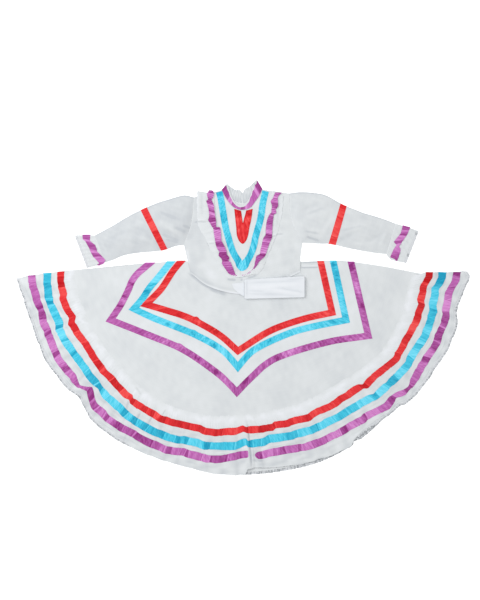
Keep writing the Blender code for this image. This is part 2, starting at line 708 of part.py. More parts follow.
def tube(name, lines, top, spans, material):
    """A flattened tube of cloth: rings round it from edge to edge, an outer and an inner skin, ends joined.

    lines run across it in plan from the upper folded edge to the lower one. top holds the height of the
    upper skin over the lower one, a row for each ring and a column for each point across.
    """
    across = np.linspace(0.0, 1.0, spans + 1)
    rings = []
    for line, height in zip(lines, top):
        wide = np.hypot(*np.diff(line, axis=0).T).sum()
        skins = []
        for margin, wall in ((FOLD_MARGIN, 0.0), (2 * FOLD_MARGIN, CLOTH)):
            flat = at_distances(line, margin + across * (wide - 2 * margin))
            under = np.column_stack([flat, np.full(spans + 1, BACK_Z + wall)])
            over = np.column_stack([flat, height - wall])
            ends = at_distances(line, np.array([margin - FOLD_MARGIN, wide - margin + FOLD_MARGIN]))
            fold = [np.append(e, 0.5 * FLAT_TUBE)[None] for e in ends]
            skins.append(np.vstack([fold[0], under, fold[1], over[::-1]]))
        rings.append(skins)
    count = len(rings[0][0])
    points = np.array(rings).reshape(-1, 3) * MM
    faces = []
    for k in range(len(rings) - 1):
        a, b = 2 * k * count, 2 * (k + 1) * count
        for i in range(count):
            j = (i + 1) % count
            for skin in (0, count):
                faces.append((a + skin + i, a + skin + j, b + skin + i))
                faces.append((a + skin + j, b + skin + j, b + skin + i))
    for base, turn in ((0, False), (2 * (len(rings) - 1) * count, True)):
        for i in range(count):
            j = (i + 1) % count
            rim = (base + i, base + count + i, base + count + j, base + j)
            faces.append(rim[::-1] if turn else rim)
    mesh = bpy.data.meshes.new(name)
    mesh.from_pydata([tuple(p) for p in points], [], faces)
    shape = bmesh.new()
    shape.from_mesh(mesh)
    bmesh.ops.recalc_face_normals(shape, faces=shape.faces[:])
    shape.to_mesh(mesh)
    shape.free()
    place(name, mesh, material)
    return [ring[0] for ring in rings]


def top_strip(rings, first, last, spans):
    """Plan and heights of the upper skin of a tube between two of its rings."""
    rows = [ring[-(spans + 1):][::-1] for ring in rings[first:last + 1]]
    rows = np.array(rows)
    return rows[..., :2], rows[..., 2]


def beyond(line, distance, side):
    """A line across a sleeve moved square to itself, away from the body."""
    way = line[-1] - line[0]
    out = np.array([-way[1], way[0]]) / np.linalg.norm(way)
    return line + (distance if side == "right" else -distance) * out


def build_sleeves():
    """Both sleeves with their red bands, and both gathered cuffs with violet ribbon and lace."""
    across = np.linspace(0.0, 1.0, SLEEVE_SPANS + 1)
    bulge = np.sin(math.pi * across) ** SLEEVE_BULGE
    for side in ("left", "right"):
        lines = straight_lines(SLEEVE[side])
        wrist = lines[-1]
        bow = smooth_along(ARMHOLE[side], len(wrist)) - lines[0]
        for k, part in enumerate(ARMHOLE_BOW):
            lines[k] = lines[k] + part * bow
        lines[0][:, 0] += -GAP if side == "left" else GAP
        loft = column(SLEEVE[side], "loft")
        turns = 2 * math.pi * SLEEVE_RIPPLE["waves"] * across
        wave = np.array([np.sin(turns + SLEEVE_RIPPLE["turn"] * k) for k in range(len(lines))])
        soft = np.interp(loft, SLEEVE_RIPPLE["loft"], (0.0, SLEEVE_RIPPLE["height"]))
        top = FLAT_TUBE + (loft[:, None] + soft[:, None] * wave) * bulge
        rings = tube(f"sleeve_{side}", lines, top, SLEEVE_SPANS, "white_poplin")
        plan, over = top_strip(rings, SLEEVE_BAND[0], SLEEVE_BAND[1], SLEEVE_SPANS)
        lay(f"sleeve_ribbon_{side}", plan, over + GAP, RIBBON, "red_satin")
        build_cuff(side, wrist)


def build_cuff(side, wrist):
    """One gathered cuff: a wavy flattened tube from the wrist out, its ribbon, and lace at its rim."""
    spans = 2 * CUFF_WAVES
    wave = gathers(spans + 1, CUFF_UNEVEN)
    lines = [beyond(wrist, GAP, side)] + straight_lines(CUFF[side])
    top = FLAT_TUBE + np.array(CUFF_LIFT)[:, None] * wave[None]
    rings = tube(f"cuff_{side}", lines, top, spans, "white_poplin")
    plan, over = top_strip(rings, 1, 2, spans)
    lay(f"cuff_ribbon_{side}", plan, over + GAP, RIBBON, "violet_satin")
    rim = [beyond(lines[-1], distance, side) for distance in (GAP, LACE_WIDTH)]
    tube(f"cuff_lace_{side}", rim, np.array([top[-1], top[-1]]), spans, "white_lace")


def rounded_outline(inset):
    """Outline of the folded sash in plan, drawn in by an inset, with rounded corners."""
    radius = SASH["corner"] - inset
    corners = (
        (SASH["right"], SASH["top"], 0), (SASH["left"], SASH["top"], 90),
        (SASH["left"], SASH["bottom"], 180), (SASH["right"], SASH["bottom"], 270),
    )
    points = []
    for x, y, start in corners:
        cx = x - SASH["corner"] if x == SASH["right"] else x + SASH["corner"]
        cy = y - SASH["corner"] if y == SASH["top"] else y + SASH["corner"]
        for turn in (0, 30, 60, 90):
            angle = math.radians(start + turn)
            points.append((cx + radius * math.cos(angle), cy + radius * math.sin(angle)))
    return points


def build_sash():
    """The folded sash: one rounded block with a groove at its edge between each two layers, and its end."""
    base = OVER_FRONT_Z + BLOUSE_RISE
    rings = []
    for layer in range(SASH_LAYERS):
        foot = base + layer * SASH_LAYER
        for share, drawn_in in SASH_RINGS:
            rings.append((foot + share * SASH_LAYER, SASH_GROOVE if drawn_in else 0.0))
    top = base + SASH_LAYERS * SASH_LAYER
    rings += [(top, SASH_GROOVE), (top + SASH_TOP["rise"], SASH_TOP["inset"])]
    outline = [[(x * MM, y * MM, z * MM) for x, y in rounded_outline(inset)] for z, inset in rings]
    count = len(outline[0])
    points = [p for ring in outline for p in ring]
    faces = []
    for k in range(len(rings) - 1):
        for i in range(count):
            j = (i + 1) % count
            faces.append((k * count + i, k * count + j, (k + 1) * count + j, (k + 1) * count + i))
    faces.append(tuple(range(count))[::-1])
    faces.append(tuple((len(rings) - 1) * count + i for i in range(count)))
    mesh = bpy.data.meshes.new("sash")
    mesh.from_pydata(points, [], faces)
    place("sash", mesh, "white_sash_cotton")
    plan = np.array([along(SASH_END["near"], 5), along(SASH_END["far"], 5)])
    lay("sash_end", plan, np.full(plan.shape[:2], base), CLOTH, "white_sash_cotton")


clear_scene()
MATERIALS = make_materials()
COLLECTION = bpy.data.collections.new("folklorico_dress")
bpy.context.scene.collection.children.link(COLLECTION)
build_skirt()
build_flounce()
build_body()
build_collar()
build_yoke()
build_sleeves()
build_sash()
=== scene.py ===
# Looks for a child's folklorico dress laid flat: gathered circle skirt folded in half, blouse on top, folded sash
import math
import bpy
import numpy as np
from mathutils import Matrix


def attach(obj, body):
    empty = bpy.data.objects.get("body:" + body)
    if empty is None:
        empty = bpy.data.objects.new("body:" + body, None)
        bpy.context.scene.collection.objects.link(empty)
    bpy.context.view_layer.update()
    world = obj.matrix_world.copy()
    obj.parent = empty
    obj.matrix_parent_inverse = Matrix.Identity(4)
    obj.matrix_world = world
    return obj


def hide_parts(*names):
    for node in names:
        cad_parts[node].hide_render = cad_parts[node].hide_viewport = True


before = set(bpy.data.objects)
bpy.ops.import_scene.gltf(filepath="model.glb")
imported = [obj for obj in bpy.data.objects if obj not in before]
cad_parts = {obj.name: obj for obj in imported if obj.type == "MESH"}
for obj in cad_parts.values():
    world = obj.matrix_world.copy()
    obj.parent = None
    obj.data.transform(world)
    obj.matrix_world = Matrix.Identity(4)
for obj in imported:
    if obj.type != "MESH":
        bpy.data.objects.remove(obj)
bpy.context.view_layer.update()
mm = 0.001
print("frame loaded:", len(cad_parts), "nodes")

# Tables hold millimetres: x to the right, y towards the collar, z up from the floor
walls = {"cloth": 1.2, "gap": 0.3, "shown": 0.7, "thin": 0.5, "gathered": 0.45, "lace": 0.4, "ribbon": 0.35,
         "band": 1.8, "sashEnd": 0.6}
levels = {"back": 0.75, "backGathered": 0.85, "backLace": 0.8, "band": 2.0, "front": 1.5, "overFront": 3.0}
ribbons = {"wide": 22.0, "narrow": 16.0}


# Curves and grids

# length along a line up to each of its points
def runOf(line):
    return np.concatenate([[0.0], np.cumsum(np.linalg.norm(np.diff(line, axis=0), axis=1))])


# evenly spaced points by length on a broken line
def evenly(points, count):
    points = np.asarray(points, float)
    run = runOf(points)
    at = np.linspace(0.0, run[-1], count)
    return np.column_stack([np.interp(at, run, points[:, k]) for k in range(points.shape[1])])


# smooth Catmull-Rom curve through whole rows, drawn at evenly spaced row numbers: a cubic blend of four rows
def betweenRows(rows, count):
    p = np.asarray(rows, float)
    p = np.concatenate([2 * p[:1] - p[1:2], p, 2 * p[-1:] - p[-2:-1]])
    at = np.linspace(0.0, len(p) - 3.0, count)
    k = np.minimum(at.astype(int), len(p) - 4)
    t = (at - k).reshape((-1,) + (1,) * (p.ndim - 1))
    a, b, c, d = (p[k + ahead] for ahead in range(4))
    return 0.5 * (2 * b + (c - a) * t + (2 * a - 5 * b + 4 * c - d) * t**2 + (3 * b - a - 3 * c + d) * t**3)


# the same curve through points, then spaced evenly by length
def smoothly(points, count, fine=16):
    return evenly(betweenRows(points, (len(points) - 1) * fine + 1), count)


# rows at numbers between those of the named ones, by straight blends
def rowsAt(rows, numbers, at):
    rows = np.asarray(rows, float)
    k = np.clip(np.searchsorted(numbers, at), 1, len(numbers) - 1)
    t = ((at - numbers[k - 1]) / (numbers[k] - numbers[k - 1])).reshape((-1,) + (1,) * (rows.ndim - 1))
    return rows[k - 1] * (1 - t) + rows[k] * t


# the named rows with as many cells filled in after each as its count says
def fillRows(rows, counts):
    numbers = np.cumsum((0,) + tuple(counts))
    return rowsAt(rows, numbers, np.arange(numbers[-1] + 1))


# straight blend from one line to another, and the share across it at each row
def between(first, last, count):
    return fillRows((first, last), (count - 1,)), np.linspace(0.0, 1.0, count)[:, None]


# directions made one long
def unit(ways):
    return ways / np.maximum(np.linalg.norm(ways, axis=-1, keepdims=True), 1e-6)


# parts of a line put end to end, each shared point once
def joined(parts):
    return np.vstack([parts[0]] + [part[1:] for part in parts[1:]])


# line moved sideways, with mitred corners: neighbours' normals added and stretched to keep the distance
def sideways(line, distance, ends=None):
    steps = unit(np.diff(line, axis=0))
    normals = np.column_stack([-steps[:, 1], steps[:, 0]])
    joints = unit(np.vstack([normals[:1], normals[:-1] + normals[1:], normals[-1:]]))
    square = np.vstack([normals[:1], normals])
    moved = joints / np.maximum(np.sum(joints * square, axis=1), 0.3)[:, None]
    if ends is not None:
        moved[0] = np.array(ends) / np.dot(ends, normals[0])
        moved[-1] = np.array(ends) / np.dot(ends, normals[-1])
    return line + distance * moved


# both edges of a ribbon with corners: mitred on its coarse line, then each arm drawn smoothly between corners
def ribbonEdges(line, arms, counts, width, ends=None):
    corners = np.cumsum((0,) + arms)
    edges = []
    for distance in (width / 2, -width / 2):
        moved = sideways(line, distance, ends)
        spans = zip(corners, corners[1:], counts)
        edges.append(joined([smoothly(moved[a:b + 1], count) for a, b, count in spans]))
    return edges


# Coons patch: opposite edges blended in both directions, less the blend of the corners
def patch(top, bottom, left, right):
    u = np.linspace(0.0, 1.0, len(top))[None, :, None]
    v = np.linspace(0.0, 1.0, len(left))[:, None, None]
    top, bottom, left, right = top[None], bottom[None], left[:, None], right[:, None]
    corners = (1 - u) * (1 - v) * top[:, :1] + u * (1 - v) * top[:, -1:]
    corners = corners + (1 - u) * v * bottom[:, :1] + u * v * bottom[:, -1:]
    return (1 - v) * top + v * bottom + (1 - u) * left + u * right - corners


def xy(plan):
    return plan[..., 0], plan[..., 1]


def stack(plan, height):
    return np.concatenate([plan, height[..., None]], axis=-1)


# 0 below a, 1 above b, smooth between
def ease(x, a, b):
    t = np.clip((x - a) / (b - a), 0.0, 1.0)
    return t * t * (3 - 2 * t)


# half of one less the cosine: a wave from 0 to 1, and the share across a flattened tube at a turn round it
def roundShare(turns):
    return 0.5 - 0.5 * np.cos(turns)


# rises from a to b and falls from c to d
def window(x, a, b, c, d):
    return ease(x, a, b) * (1 - ease(x, c, d))


# a row of values rounded by a bell; the rest says how it goes on past its ends
def softened(values, wide, reach, **ends):
    bell = np.exp(-0.5 * (np.arange(-reach, reach + 1) / wide) ** 2)
    return np.convolve(np.pad(values, reach, **ends), bell / bell.sum(), mode="valid")


# Relief and tone

# soft uneven relief from -1 to 1: a sum of sine waves of about one size in seeded random directions
def ripple(x, y, size, seed, count=9):
    draw = np.random.default_rng(seed)
    turn = draw.uniform(0, 2 * math.pi, count)
    wave = 2 * math.pi / (size * draw.uniform(0.6, 1.5, count))
    late = draw.uniform(0, 2 * math.pi, count)
    total = sum(np.sin(w * (x * math.cos(a) + y * math.sin(a)) + f) for a, w, f in zip(turn, wave, late))
    return total / math.sqrt(count) / 1.6


# soft unevenness of each surface, a sum of ripples: strength, size and seed of each
uneven = {
    "panel": ((0.30, 70.0, 7), (0.16, 22.0, 8)), "panelTone": ((0.20, 110.0, 21), (0.12, 33.0, 22)),
    "flounce": ((0.22, 26.0, 3),), "flounceTone": ((0.10, 60.0, 5),),
    "skirtBack": ((0.22, 40.0, 31),), "flounceBack": ((0.10, 30.0, 33),),
    "blouse": ((0.34, 62.0, 41), (0.16, 21.0, 42)), "blouseTone": ((0.20, 70.0, 44), (0.12, 26.0, 45)),
    "blouseBack": ((0.2, 40.0, 46),), "collarBack": ((0.63, 3.6, 47),),
    "yokeRibbon": ((0.10, 9.0, 18),), "yokeRibbonTone": ((0.50, 5.0, 19), (0.40, 12.0, 20)),
    "keyhole": ((0.12, 12.0, 28),), "keyholeTone": ((0.5, 12.0, 29),), "ruffle": ((0.25, 24.0, 23),),
    "sleeve": ((0.51, 62.0, 71), (0.24, 21.0, 72)), "sleeveTone": ((0.16, 60.0, 74), (0.12, 24.0, 75)),
    "cuffTone": ((0.2, 14.0, 79),), "sash": ((0.12, 24.0, 87),), "sashTone": ((0.15, 50.0, 88),),
    "sashEnd": ((0.25, 20.0, 89),), "sashEndTone": ((0.1, 20.0, 90),),
}


def unevenAt(x, y, surface):
    return sum(strength * ripple(x, y, size, seed) for strength, size, seed in uneven[surface])


# creases, listed in rows of x1, y1, x2, y2, half width, height; a bell across and a fade at both ends
def creases(x, y, rows):
    total = np.zeros(np.shape(x))
    for x1, y1, x2, y2, wide, high in rows:
        ax, ay = x2 - x1, y2 - y1
        length = math.hypot(ax, ay)
        s = ((x - x1) * ax + (y - y1) * ay) / length**2
        off = ((x - x1) * ay - (y - y1) * ax) / length
        total += high * np.exp(-(off / wide) ** 2) * window(s, -0.10, 0.25, 0.70, 1.10)
    return total


# small gathers along a line: a sine whose phase and height wander
def gathers(run, pitch, seed):
    slow = 0.9 * np.sin(run / (pitch * 3.1) + seed) + 0.7 * np.sin(run / (pitch * 7.3) + 2.1 * seed)
    high = 0.65 + 0.25 * np.sin(run / (pitch * 2.3) + 1.7 * seed) + 0.10 * np.sin(run / (pitch * 5.9))
    return high * np.sin(2 * math.pi * run / pitch + 1.6 * slow)


# gathers of each surface or edge, a sum of them: strength, pitch and seed of each
# those named for a tone lighten and darken the colour along the gathers: painted shade and light
gathered = {
    "flounce": ((1.0, 9.0, 1), (0.6, 4.77, 2)), "flounceLong": ((0.25, 31.0, 4),),
    "headingSunk": ((0.10, 9.0, 13),), "headingBand": ((5.0, 47.0, 15),),
    "headingEdge": ((1.5, 23.0, 3), (0.9, 8.0, 5), (0.5, 4.1, 7)),
    "seamLines": ((0.30, 7.0, 17),), "hemLace": ((0.25, 12.0, 6),),
    "flounceBack": ((0.20, 24.0, 9),), "flounceBackTone": ((0.05, 40.0, 5),), "waistband": ((0.4, 7.0, 12),),
    "collarHigh": ((0.05, 19.0, 2),), "collar": ((1.0, 5.5, 5),), "collarFrill": ((0.04, 6.0, 8),),
    "collarBack": ((1.0, 9.0, 14),), "yokeRibbon": ((0.14, 9.0, 2),), "ruffle": ((0.35, 5.2, 21),),
    "ruffleEdge": ((1.5, 21.0, 31), (0.7, 8.0, 17)), "ruffleRibbon": ((1.0, 5.6, 11),),
    "ruffleRibbonTone": ((0.5, 7.0, 11), (0.35, 3.2, 4)), "cuffTone": ((0.10, 4.6, 3),),
    "cuffLeft": ((0.12, 4.6, 3),), "cuffRight": ((0.12, 4.6, 8),), "cuffRibbonTone": ((0.3, 4.0, 6),),
}


def gathersAt(run, surface):
    return sum(strength * gathers(run, pitch, seed) for strength, pitch, seed in gathered[surface])


# scallops of a lace's edge: half waves, less half their height
def scallops(run, pitch, depth):
    return depth * (2 * np.abs(np.sin(math.pi * run / pitch)) - 1)


# facets, listed: each a box along the line with soft sides in its own tone, painted sheen where lighter and
# painted shade where darker, and at its end a fold line, painted as a dark line with a lighter one beside it
def placedTone(at, rows, soft=0.06, line=0.0):
    total = 0.0
    for a, b, tone in rows:
        total = total + tone * window(at, a - soft, a + soft, b - soft, b + soft)
        dark, light = (np.exp(-((at - b - off * soft) / (wide * soft)) ** 2) for off, wide in ((0, 2), (5, 3)))
        total = total - line * dark + line * light
    return total


# facets by chance, of about one length: each leans a little from end to end and may start at a fold line
# as the satin's tone each facet is painted sheen or shade by its value, and a fold line is a painted dark line
# with a lighter one after it
def chanceTone(run, pitch, seed, high=0.8, line=0.0):
    draw = np.random.default_rng(seed)
    first, last = np.min(run), np.max(run)
    starts = np.sort(draw.uniform(first, last, int((last - first) / pitch)))
    value, lean = draw.uniform(-high, high, (2, len(starts) + 1))
    edges = np.concatenate([[first], starts, [last]])
    index = np.searchsorted(starts, run)
    past = run - edges[index]
    where = past / np.maximum(edges[index + 1] - edges[index], 1e-6)
    fold = line * (np.exp(-((past - 4) / 2) ** 2) - np.exp(-(past / 1.5) ** 2))
    return value[index] + 0.4 * lean[index] * (2 * where - 1) + fold


# Materials

# sRGB hex to linear
def linear(code):
    part = np.array([int(code[k:k + 2], 16) for k in (0, 2, 4)]) / 255
    return (*np.where(part <= 0.04045, part / 12.92, ((part + 0.055) / 1.055) ** 2.4).tolist(), 1.0)


# one node with its settings and its inputs, each a value or another node's socket; stops mark a colour ramp
def addNode(tree, kind, inputs, stops=(), **settings):
    node = tree.nodes.new("ShaderNode" + kind)
    for key, value in settings.items():
        setattr(node, key, value)
    for key, value in inputs.items():
        if isinstance(value, bpy.types.NodeSocket):
            tree.links.new(value, node.inputs[key])
        else:
            node.inputs[key].default_value = value
    while stops and len(node.color_ramp.elements) < len(stops):
        node.color_ramp.elements.new(0.5)
    for k, (place, colour) in enumerate(stops):
        node.color_ramp.elements[k].position = place
        node.color_ramp.elements[k].color = linear(colour)
    return node.outputs


# a material whose shader is still to be filled in, with the cloth's own coordinates and its tone
# the tone carries painted light and shade as well as the cloth's own unevenness
def startMaterial(name):
    material = bpy.data.materials.new(name)
    material.use_nodes = True
    tree = material.node_tree
    tree.nodes.clear()
    place = addNode(tree, "UVMap", {}, uv_map="cloth")["UV"]
    tone = addNode(tree, "Attribute", {}, attribute_name="tone")["Fac"]
    return material, tree, place, tone


# repeats in each metre of a pattern whose size is in millimetres along and across the cloth
def repeats(along, across):
    return (1 / (along * mm), 1 / (across * mm), 1.0)


# uneven patterns of a finish, each from its table: size along and across the cloth, detail, roughness
def unevenness(tree, place, fields):
    made = {}
    for part, (along, across, detail, rough) in fields.items():
        spread = addNode(tree, "Mapping", {"Vector": place, "Scale": repeats(along, across)})[0]
        inputs = {"Vector": spread, "Scale": 1.0, "Detail": detail, "Roughness": rough}
        made[part] = addNode(tree, "TexNoise", inputs)[0]
    return made


# colour of a finish: its tone and its patterns added by their shares, read off a ramp
def shaded(tree, tone, parts, shares, stops):
    mix = addNode(tree, "Math", {0: tone, 1: shares["tone"], 2: shares["start"]}, operation="MULTIPLY_ADD")[0]
    for part in parts:
        mix = addNode(tree, "Math", {0: parts[part], 1: shares[part], 2: mix}, operation="MULTIPLY_ADD")[0]
    return addNode(tree, "ValToRGB", {"Fac": mix}, stops)["Color"]


# poplin: plain tight weave of fine cotton and polyester, matt with a faint dry sheen; threads are 0.25 mm
# apart and drawn 1.6 mm apart so that they show
poplin = {
    # its colour runs by the tone from painted shade through its white to painted light
    "shade": "C6CBD0", "white": "DDE1E3", "light": "EBEEF3", "roughness": 0.82, "sheen": 0.08,
    "sheenRoughness": 0.6, "specular": 0.25, "thread": 1.6, "threadHeight": 0.06, "threadStrength": 0.6,
    "crumpleHeight": 0.5, "crumpleStrength": 0.5,
    "fields": {"slub": (26.0, 5.0, 3.0, 0.6), "cloud": (90.0, 90.0, 1.0, 0.5)},
    "crumple": {"fold": (34.0, 27.2, 4.0, 0.55)},
    "shares": {"tone": 0.5, "start": 0.33, "slub": 0.16, "cloud": 0.18},
}
# smoother, tightly pressed cotton of the sash: whiter than the dress
sashCotton = dict(poplin, white="E6EAEF", shade="D6DBE1", light="F2F4F8", roughness=0.75, thread=1.2,
                  threadHeight=0.04, crumple={"fold": (22.0, 17.6, 4.0, 0.55)}, crumpleHeight=0.25)


def woven(name, look):
    material, tree, place, tone = startMaterial(name)
    patterns = unevenness(tree, place, look["fields"])
    stops = ((0.0, look["shade"]), (0.5, look["white"]), (1.0, look["light"]))
    colour = shaded(tree, tone, patterns, look["shares"], stops)
    # weave: warp and weft as two crossed sets of bands, multiplied
    pitch = look["thread"] / math.pi
    threads = addNode(tree, "Mapping", {"Vector": place, "Scale": repeats(pitch, pitch)})[0]
    split = addNode(tree, "SeparateXYZ", {"Vector": threads})
    warp, weft = (addNode(tree, "Math", {0: split[axis]}, operation="SINE")[0] for axis in "XY")
    weave = addNode(tree, "Math", {0: warp, 1: weft}, operation="MULTIPLY")[0]
    fold = unevenness(tree, place, look["crumple"])["fold"]
    dents = addNode(tree, "Bump", {
        "Height": fold, "Strength": look["crumpleStrength"], "Distance": look["crumpleHeight"] * mm,
    })[0]
    relief = addNode(tree, "Bump", {
        "Height": weave, "Strength": look["threadStrength"], "Distance": look["threadHeight"] * mm,
        "Normal": dents,
    })[0]
    shader = addNode(tree, "BsdfPrincipled", {
        "Base Color": colour, "Roughness": look["roughness"], "Sheen Weight": look["sheen"],
        "Sheen Roughness": look["sheenRoughness"], "Specular IOR Level": look["specular"], "Normal": relief,
    })[0]
    addNode(tree, "OutputMaterial", {"Surface": shader})
    return material


# polyester satin ribbon, woven and heat set: long floats give a strong soft gloss that turns light and dark
# with every fold, and fine ribs run across it
# the light and dark of its folds is painted into its colour, as painted sheen and painted shade
satinLook = {
    # each colour's stops: a painted shade, the ribbon's own colour, a painted sheen
    "red": ("C00410", "E52D32", "FF6460"),
    "blue": ("0098BE", "42C9E6", "80E6FF"),
    "violet": ("8C2478", "BC64B0", "E49ADC"),
    "roughness": 0.42, "anisotropy": 0.35, "specular": 0.2, "glintTurn": 0.5,
    "ribHeight": 0.08, "foldHeight": 0.35, "reliefStrength": 0.5,
    # the rib and fold patterns raise bumps and also paint streaks of sheen and shade into its colour; the slanted
    # glint pattern paints glints
    "fields": {"rib": (2.2, 60.0, 1.0, 0.5), "fold": (9.0, 40.0, 2.0, 0.5)},
    "slanted": {"glint": (5.0, 24.0, 2.0, 0.6)},
    "shares": {"tone": 0.40, "start": -0.27, "rib": 0.50, "fold": 0.42, "glint": 0.62},
    "stops": (0.06, 0.5, 0.94),
}


def satin(name, colours):
    material, tree, place, tone = startMaterial(name)
    turning = {"Vector": place, "Angle": satinLook["glintTurn"]}
    turned = addNode(tree, "VectorRotate", turning, rotation_type="Z_AXIS")[0]
    patterns = unevenness(tree, place, satinLook["fields"]) | unevenness(tree, turned, satinLook["slanted"])
    colour = shaded(tree, tone, patterns, satinLook["shares"], tuple(zip(satinLook["stops"], colours)))
    dents = addNode(tree, "Bump", {
        "Height": patterns["fold"], "Strength": satinLook["reliefStrength"],
        "Distance": satinLook["foldHeight"] * mm,
    })[0]
    relief = addNode(tree, "Bump", {
        "Height": patterns["rib"], "Strength": satinLook["reliefStrength"],
        "Distance": satinLook["ribHeight"] * mm, "Normal": dents,
    })[0]
    shader = addNode(tree, "BsdfPrincipled", {
        "Base Color": colour, "Roughness": satinLook["roughness"], "Anisotropic": satinLook["anisotropy"],
        "Specular IOR Level": satinLook["specular"], "Normal": relief,
    })[0]
    addNode(tree, "OutputMaterial", {"Surface": shader})
    return material


# cotton edging lace: whipped scallops of white thread, with grey gaps between the threads, painted shade seen
# through them; the tone says how much of the open edge shows, and is low where it is turned under
laceLook = {
    "thread": "D8DBDF", "gap": "6C7277", "mesh": 2.6, "unevenness": 0.6, "roughness": 0.9,
    "depth": 0.4, "depthStrength": 0.8,
    "motif": {"motif": (7.0, 30.0, 1.0, 0.5)}, "holes": (0.30, 0.62, 1.0, 0.25), "gaps": (0.36, 0.56, 0.0, 1.0),
}


def lace(name):
    material, tree, place, tone = startMaterial(name)
    mesh = addNode(tree, "Mapping", {"Vector": place, "Scale": repeats(laceLook["mesh"], laceLook["mesh"])})[0]
    spacing = {"Vector": mesh, "Scale": 1.0, "Randomness": laceLook["unevenness"]}
    cells = addNode(tree, "TexVoronoi", spacing)["Distance"]
    motif = unevenness(tree, place, laceLook["motif"])["motif"]
    shown = tone
    for field, limits in ((cells, "holes"), (motif, "gaps")):
        spread = addNode(tree, "MapRange", {"Value": field, **dict(enumerate(laceLook[limits], 1))})[0]
        shown = addNode(tree, "Math", {0: shown, 1: spread}, operation="MULTIPLY")[0]
    stops = ((0.0, laceLook["thread"]), (1.0, laceLook["gap"]))
    colour = addNode(tree, "ValToRGB", {"Fac": shown}, stops)["Color"]
    relief = addNode(tree, "Bump", {
        "Height": cells, "Strength": laceLook["depthStrength"], "Distance": laceLook["depth"] * mm,
    })[0]
    shader = addNode(tree, "BsdfPrincipled", {
        "Base Color": colour, "Roughness": laceLook["roughness"], "Normal": relief,
    })[0]
    addNode(tree, "OutputMaterial", {"Surface": shader})
    return material


finishes = {
    "white_poplin": woven("white_poplin_woven", poplin),
    "white_sash_cotton": woven("white_sash_cotton_woven", sashCotton),
    "white_lace": lace("white_lace_whipped"),
}
for colour in ("red", "blue", "violet"):
    finishes[f"{colour}_satin"] = satin(f"{colour}_satin_woven", satinLook[colour])
print("materials made:", len(finishes))


# Pieces

# a piece stands for the solid of its own name, in small letters with underscores, apart from these
solids = {"waistbandGathered": "waistband", "sashFolded": "sash"}


# A piece is a grid of points in millimetres. Its cells become quads, its lengths along and across the map.
# A wrapped grid closes on itself across, and a capped one is shut by a face at each end.
def addPiece(name, grid, finish, wall, tone=0.0, wrap=False, capped=False):
    rows, cols = grid.shape[:2]
    number = np.arange(rows * cols).reshape(rows, cols)
    here, ahead = (number, np.roll(number, -1, axis=1)) if wrap else (number[:, :-1], number[:, 1:])
    quads = np.stack([here[:-1], ahead[:-1], ahead[1:], here[1:]], axis=-1)
    spans = quads.shape[1]
    ring = np.vstack([grid[rows // 2], grid[rows // 2, :1]]) if wrap else grid[rows // 2]
    u, v = runOf(ring), runOf(grid[:, cols // 3])
    corner = np.empty(quads.shape[:2] + (4, 2))
    corner[..., (0, 3), 0] = u[None, :spans, None]
    corner[..., (1, 2), 0] = u[None, 1:spans + 1, None]
    corner[..., (0, 1), 1] = v[:-1, None, None]
    corner[..., (2, 3), 1] = v[1:, None, None]
    points = grid.reshape(-1, 3) * mm
    a, b, c, d = (points[quads[..., k]] for k in range(4))
    facing = np.cross(c - a, d - b)
    outward = (facing * (0.5 * (a + c) - points.mean(axis=0))).sum() if wrap else facing[..., 2].sum()
    if outward < 0:
        quads = quads[..., ::-1]
        corner = corner[..., ::-1, :]
    faces = quads.reshape(-1, 4).tolist()
    corner = corner.reshape(-1, 2)
    if capped:
        turn = -1 if outward > 0 else 1
        faces += [number[0][::turn].tolist(), number[-1][::-turn].tolist()]
        corner = np.vstack([corner] + 2 * [np.column_stack([u[:cols], 0 * u[:cols]])])
    mesh = bpy.data.meshes.new(name)
    mesh.from_pydata(points, [], faces)
    mesh.uv_layers.new(name="cloth").uv.foreach_set("vector", (corner.reshape(-1) * mm).astype(np.float32))
    shade = np.broadcast_to(tone, (rows, cols)).reshape(-1).astype(np.float32)
    mesh.attributes.new("tone", "FLOAT", "POINT").data.foreach_set("value", shade)
    mesh.polygons.foreach_set("use_smooth", np.ones(len(mesh.polygons), bool))
    mesh.materials.append(finishes[finish])
    mesh.update()
    piece = bpy.data.objects.new(name, mesh)
    bpy.context.scene.collection.objects.link(piece)
    if wall:
        solid = piece.modifiers.new("wall", "SOLIDIFY")
        solid.thickness = wall * mm
        solid.offset = -1.0
        # shading leans on the large faces, so that no dark line runs along an edge
        shading = piece.modifiers.new("shading", "WEIGHTED_NORMAL")
        shading.mode = "FACE_AREA"
        shading.weight = 90
    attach(piece, "root")
    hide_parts(solids.get(name) or "".join("_" + c.lower() if c.isupper() else c for c in name))


# Skirt and flounce

